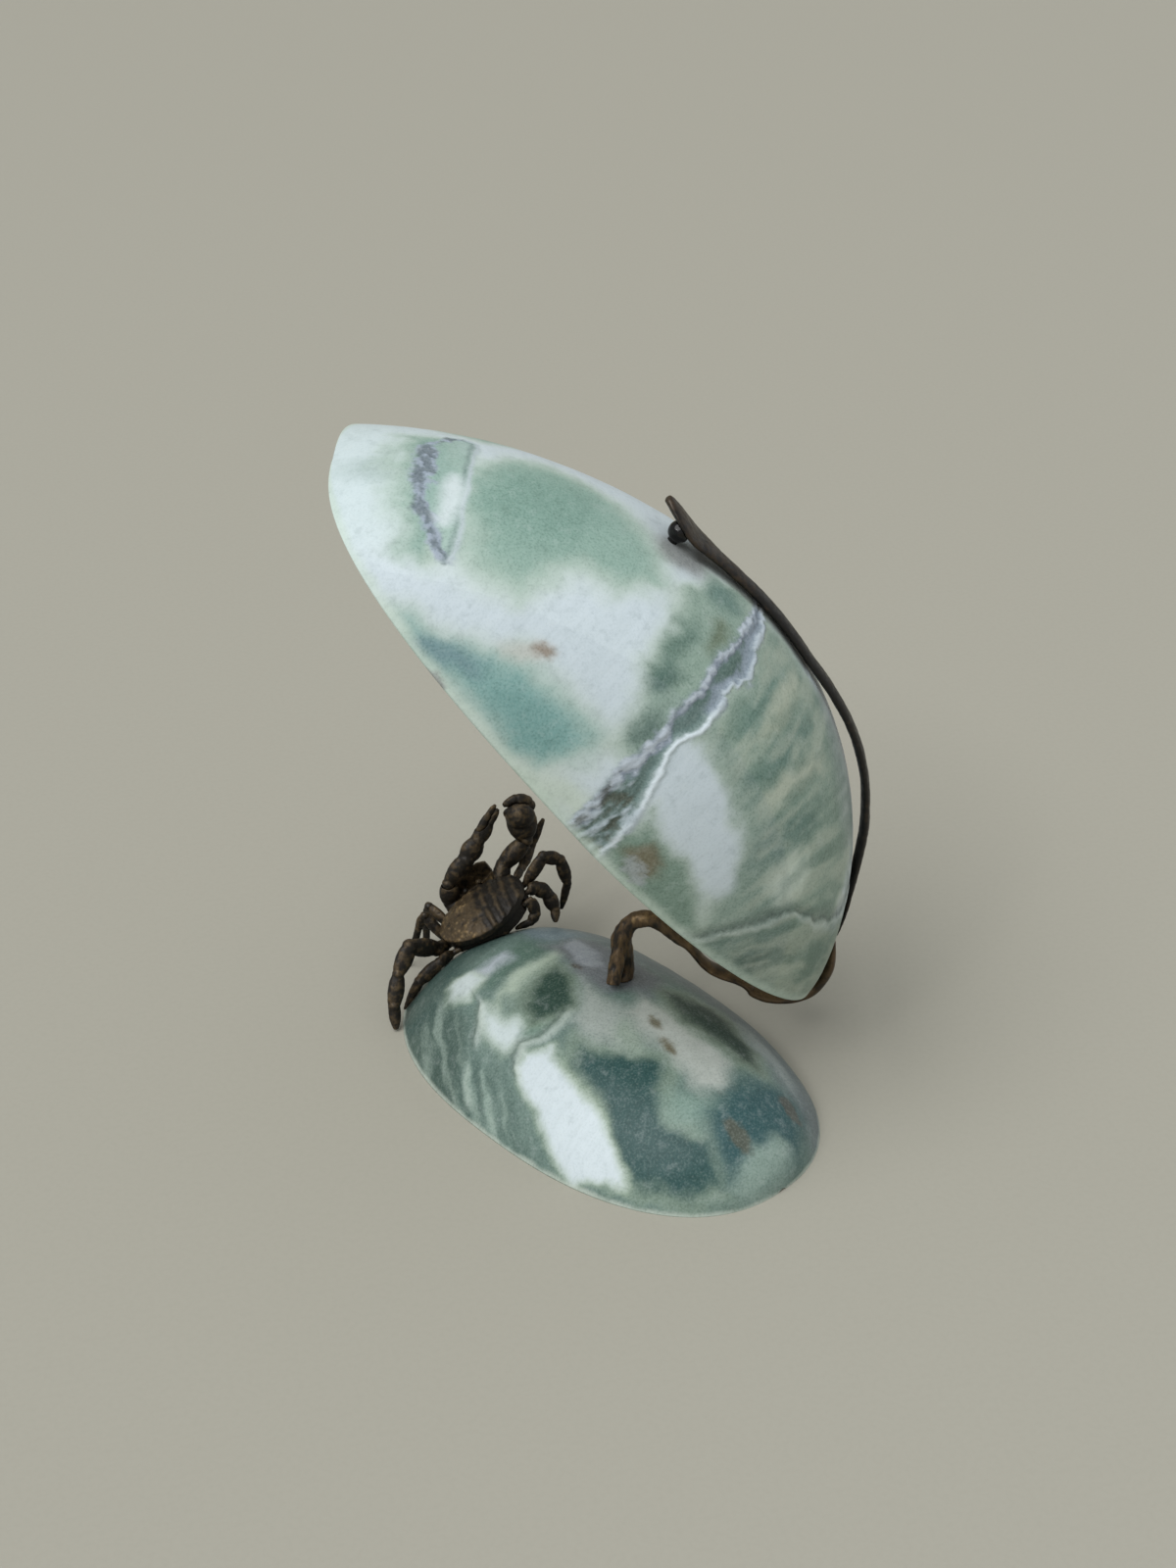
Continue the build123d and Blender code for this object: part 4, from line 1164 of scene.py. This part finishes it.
# %% [markdown]
# ## The patina
#
# Bronze with a dark patina is nearly black in its hollows, brown on its faces and tan where hands rub
# it. A picture of a patina would have to be laid round every piece. Stored rubbing and a little noise
# choose between three colours instead, so one recipe serves stem, strap, bead and crab.

# %% Patina
BRONZE_METAL = 0.35


def bronze(name, dark, brown, tan, gloss, spread_of_gloss=0.22):
    """Patinated bronze: dark in its hollows, brown on its faces and tan where it is rubbed."""
    material, tree, shader = new_material(name)
    place = own_place(tree)
    mottle = cloudy(tree, place, 700.0, 5.0, Roughness=0.7)
    fine = cloudy(tree, place, 3200.0, 3.0)
    worn = reckon(tree, "ADD", stored(tree, "rub"), reckon(tree, "MULTIPLY_ADD", mottle, 0.7, -0.35))
    colour = mix(tree, steps(tree, worn, 0.15, 0.55), dark, brown)
    colour = mix(tree, steps(tree, worn, 0.55, 1.0), colour, tan)
    colour = mix(tree, steps(tree, fine, 0.5, 0.75, 0.0, 0.35), colour, dark)
    rough = steps(tree, mottle, 0.3, 0.7, gloss, gloss + spread_of_gloss)
    rise = add_node(tree, "ShaderNodeBump", Strength=0.35, Distance=0.0001, Height=fine).outputs[0]
    fill(tree, shader, Base_Color=colour, Metallic=BRONZE_METAL, Roughness=rough, Normal=rise)
    return material


STEM_FINISH = bronze("stem bronze", paint(34, 28, 20), paint(84, 66, 42), paint(132, 108, 72), 0.34)
STRAP_FINISH = bronze("strap bronze", paint(24, 21, 17), paint(58, 47, 34), paint(112, 92, 66), 0.32)
CRAB_FINISH = bronze("crab bronze", paint(30, 25, 18), paint(78, 64, 43), paint(140, 117, 80), 0.42)
BEAD_FINISH = bronze("bead bronze", paint(14, 13, 12), paint(24, 22, 20), paint(44, 40, 36), 0.06, 0.05)
print("bronze finishes:", [finish.name for finish in (STEM_FINISH, STRAP_FINISH, CRAB_FINISH, BEAD_FINISH)])

# %% [markdown]
# ## Stem
#
# The stem is a twig cast in bronze, with furrows along its bark and a cut side stub. Towards the
# cradle it is hammered flat and smooth. An image of bark would need a seam round the twig. Noise that
# is stretched in height gives long upright furrows without one, and it can fade towards the cradle.

# %% Stem
STEM_VOXEL = 0.2
BARK_REACH = 14
BARK_LEAST = 0.15
FURROW_STRETCH = np.array([1.0, 1.0, 0.28])

stem_skin = even_skin("stem", STEM_VOXEL)
stem_points, stem_normals = skin_points(stem_skin)
out_along = (stem_points - np.array(FOOT_PLACE)) @ np.array(stem_out)
bark = np.clip(1.1 - out_along / BARK_REACH, BARK_LEAST, 1)
furrows = wander(stem_points * FURROW_STRETCH, 0.9, 21, 4)
knobs = wander(stem_points, 2.6, 22, 2)
stem_relief = bark * (0.13 * furrows + 0.22 * knobs)
stem_rub = 0.42 + 0.45 * furrows * bark + 0.35 * knobs + 0.18 * stem_normals[:, 2]
finish_bronze(stem_skin, "stem_twig", "stem", stem_relief, stem_rub, STEM_FINISH)
print("deepest furrow:", round(float(stem_relief.min()), 2), "mm")

# %% [markdown]
# ## Boss on the leaf
#
# The strap's leaf is thin over the rivet's bead, so a low boss covers the bead there. It could be a
# piece of its own, but a ball that is melted into the strap's skin leaves no seam. The skin itself
# tells where it goes: the points of the leaf above the bead give its height and the way it faces.

# %% Boss on the leaf
STRAP_VOXEL = 0.22
BEAD_RADIUS = 2.0
BOSS_SIZE = (1.7, 1.7, 0.45)
BOSS_DEPTH = 0.25

bead_low, bead_high = [Vector(corner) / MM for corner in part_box("strap_rivet")]
bead_middle = Vector((bead_high.x - BEAD_RADIUS, bead_low.y + BEAD_RADIUS, bead_high.z - BEAD_RADIUS))
plain_skin = even_skin("back_strap", STRAP_VOXEL)
plain_points, plain_normals = skin_points(plain_skin)
plain_skin.free()
from_bead = plain_points - np.array(bead_middle)
over_bead = np.linalg.norm(from_bead, axis=1) < 2 * BEAD_RADIUS
over_bead &= (from_bead * plain_normals).sum(axis=1) > 0.8 * BEAD_RADIUS
leaf_out = Vector(plain_normals[over_bead].mean(axis=0)).normalized()
leaf_height = float(np.median(from_bead[over_bead] @ np.array(leaf_out)))
boss_middle = bead_middle + leaf_out * (leaf_height - BOSS_DEPTH)
boss_turn = leaf_out.to_track_quat("Z", "Y").to_matrix().to_4x4()
boss = Matrix.Translation(boss_middle) @ boss_turn @ Matrix.Diagonal((*BOSS_SIZE, 1.0))
print("bead:", tuple(round(c, 2) for c in bead_middle), "leaf over it by", round(leaf_height, 2), "mm")

# %% [markdown]
# ## Strap and bead
#
# The strap is a plain band with faint hammer marks and scratches, and its leaf is rubbed brighter.
# A bump in the material could stand for the dents, but it would not show at the edges, so broad soft
# noise moves the skin itself. The rivet's bead is glossy and almost black, with the finest skin of
# all, because a highlight shows every step.

# %% Strap and bead
BEAD_VOXEL = 0.12
LEAF_FOOT = 100
LEAF_LENGTH = 14

strap_skin = even_skin("back_strap", STRAP_VOXEL, boss)
strap_points, _ = skin_points(strap_skin)
hammer = wander(strap_points, 3.0, 23, 2)
scratches = wander(strap_points, 0.8, 24, 3)
leaf_rise = np.clip((strap_points[:, 2] - LEAF_FOOT) / LEAF_LENGTH, 0, 1)
strap_relief = 0.07 * hammer + 0.03 * scratches
strap_rub = 0.12 + 0.25 * hammer + 0.2 * scratches + 0.35 * leaf_rise
finish_bronze(strap_skin, "strap_band", "back_strap", strap_relief, strap_rub, STRAP_FINISH)

bead_skin = even_skin("strap_rivet", BEAD_VOXEL)
bead_points, _ = skin_points(bead_skin)
bead_dents = wander(bead_points, 1.2, 25, 2)
finish_bronze(bead_skin, "strap_bead", "strap_rivet", 0.04 * bead_dents, 0.3 + 0.3 * bead_dents,
              BEAD_FINISH)
print("points on the strap:", len(strap_points), "and on the bead:", len(bead_points))

# %% [markdown]
# ## The crab's back
#
# The crab is a small casting. Its back is granular on one side and ridged on the other. The grains
# could be a scatter of small balls, but cell noise does the same in one skin: every cell's middle
# becomes a rounded bump. The ridges are a sine across the back, its valleys cut off to stay shallow.

# %% Crab's back
CRAB_PLACE = Vector((-15.5, 36.2, 15.65))
CRAB_ROLL = math.radians(31)
BACK_VOXEL = 0.15
GRAIN_SIZE = 0.8
GRAIN_EDGE = 1.5
GRAIN_FADE = 4
RIDGE_START = 1.0
RIDGE_PITCH = 2.3
crab_right = np.array([math.cos(CRAB_ROLL), 0, math.sin(CRAB_ROLL)])
crab_up = np.array([-math.sin(CRAB_ROLL), 0, math.cos(CRAB_ROLL)])


def grains(points, size):
    """Rounded bumps of one size: 1 on top of each, 0 between them."""
    nearest = np.array([noise.voronoi(Vector(p) / size)[0][0] for p in points])
    return np.clip(1 - 1.6 * nearest, 0, 1)


back_skin = even_skin("crab_carapace", BACK_VOXEL)
back_points, back_normals = skin_points(back_skin)
back_x = (back_points - np.array(CRAB_PLACE)) @ crab_right
on_top = np.clip((back_normals @ crab_up - 0.2) / 0.4, 0, 1)
left_share = np.clip((GRAIN_EDGE - back_x) / GRAIN_FADE, 0, 1)
back_grains = grains(back_points, GRAIN_SIZE)
ridges = np.clip(np.sin((back_x - RIDGE_START) * 2 * math.pi / RIDGE_PITCH), -0.6, 1) * (1 - left_share)
lumps = wander(back_points, 2.2, 31, 3)
back_relief = on_top * (0.16 * back_grains * left_share + 0.20 * ridges + 0.14 * lumps)
rubbed_left = 0.30 * (1 + back_grains) * left_share
back_rub = 0.20 + on_top * (rubbed_left + 0.16 * ridges) + 0.25 * lumps
finish_bronze(back_skin, "crab_back", "crab_carapace", back_relief, back_rub, CRAB_FINISH)
print("points on the back:", len(back_points), "highest bump:", round(float(back_relief.max()), 2), "mm")

# %% [markdown]
# ## The crab's limbs and face
#
# Legs, claws, eyes, face plate and underside have the same lumpy, pitted cast skin. One loop makes
# them all, with other noise for each, so that no two look alike. The face plate is a plain plate in
# the solid model. A bevel would leave it boxy, so its ends are drawn together and its skin is smoothed
# more often, and three furrows mark the mouth.

# %% Crab's limbs and face
CRAB_VOXEL = 0.13
CRAB_LIMBS = [
    f"{kind}_{side}{number}"
    for side in ("left", "right")
    for kind, number in (
        ("leg", "_1"), ("leg", "_2"), ("leg", "_3"), ("leg", "_4"),
        ("claw_arm", ""), ("claw_hand", ""), ("claw_finger", ""),
    )
]
PLATE_HALF_WIDTH = 5.0
PLATE_TAPER = 0.5
PLATE_TURNS = 16
MOUTH_FURROWS = (-2.4, 0.0, 2.4)
FURROW_HALF = 0.6


def round_plate(skin):
    """Draw the face plate's ends together and soften its edges, as in a casting."""
    up = Vector(crab_up)
    heights = [up.dot(vert.co - CRAB_PLACE) for vert in skin.verts]
    middle = (min(heights) + max(heights)) / 2
    for vert, height in zip(skin.verts, heights):
        across = abs(Vector(crab_right).dot(vert.co - CRAB_PLACE)) / PLATE_HALF_WIDTH
        vert.co += up * (PLATE_TAPER * across ** 3 * (middle - height))
    relax(skin, PLATE_TURNS)


for number, node in enumerate(CRAB_LIMBS + ["crab_underside", "crab_face", "crab_eyes"]):
    skin = even_skin(node, CRAB_VOXEL)
    if node == "crab_face":
        round_plate(skin)
    points, normals = skin_points(skin)
    lumps = wander(points, 1.6, 40 + number, 3)
    pits = wander(points, 0.6, 70 + number, 2)
    relief = 0.06 * lumps + 0.04 * pits
    rub = 0.22 + 0.4 * lumps + 0.2 * pits + 0.15 * normals[:, 2]
    # The underside is made darker than the rest: painted shade under the crab's body.
    if node == "crab_underside":
        rub = rub - 0.3
    if node == "crab_face":
        across = (points - np.array(CRAB_PLACE)) @ crab_right
        in_front = np.clip(2 * normals[:, 1], 0, 1)
        furrows = sum(bump((across - place) / FURROW_HALF) for place in MOUTH_FURROWS) * in_front
        relief = relief - 0.35 * furrows
        rub = rub + 0.2 - 0.4 * furrows
    finish_bronze(skin, node + "_cast", node, relief, rub, CRAB_FINISH)
print("crab pieces:", len(CRAB_LIMBS) + 4)

# %% [markdown]
# ## Hidden fixings
#
# Inside the shells sit the nuts, washers, stud and rove. They are plain turned brass. They could be
# given skins of their own too, but their crisp edges are already right, so the solids stay as they
# are and only get a brass finish with fine marks.

# %% Fixings
BRASS = paint(196, 166, 104)
DULL_BRASS = paint(148, 118, 66)
BRASS_METAL = 0.9

brass, brass_tree, brass_shader = new_material("turned brass")
brass_marks = cloudy(brass_tree, own_place(brass_tree), 1500.0, 4.0)
brass_tone = mix(brass_tree, steps(brass_tree, brass_marks, 0.35, 0.7), BRASS, DULL_BRASS)
brass_rough = steps(brass_tree, brass_marks, 0.3, 0.7, 0.28, 0.45)
fill(brass_tree, brass_shader, Base_Color=brass_tone, Roughness=brass_rough, Metallic=BRASS_METAL)
for node in ("stem_washer", "stem_nut", "crab_stud", "crab_washer", "crab_nut", "rivet_rove"):
    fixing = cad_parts[node]
    fixing.data.materials.clear()
    fixing.data.materials.append(brass)
print("brass pieces:", brass.users)

# %% [markdown]
# ## Finish
#
# The last call brings the scene up to date.

# %% Finish
bpy.context.view_layer.update()
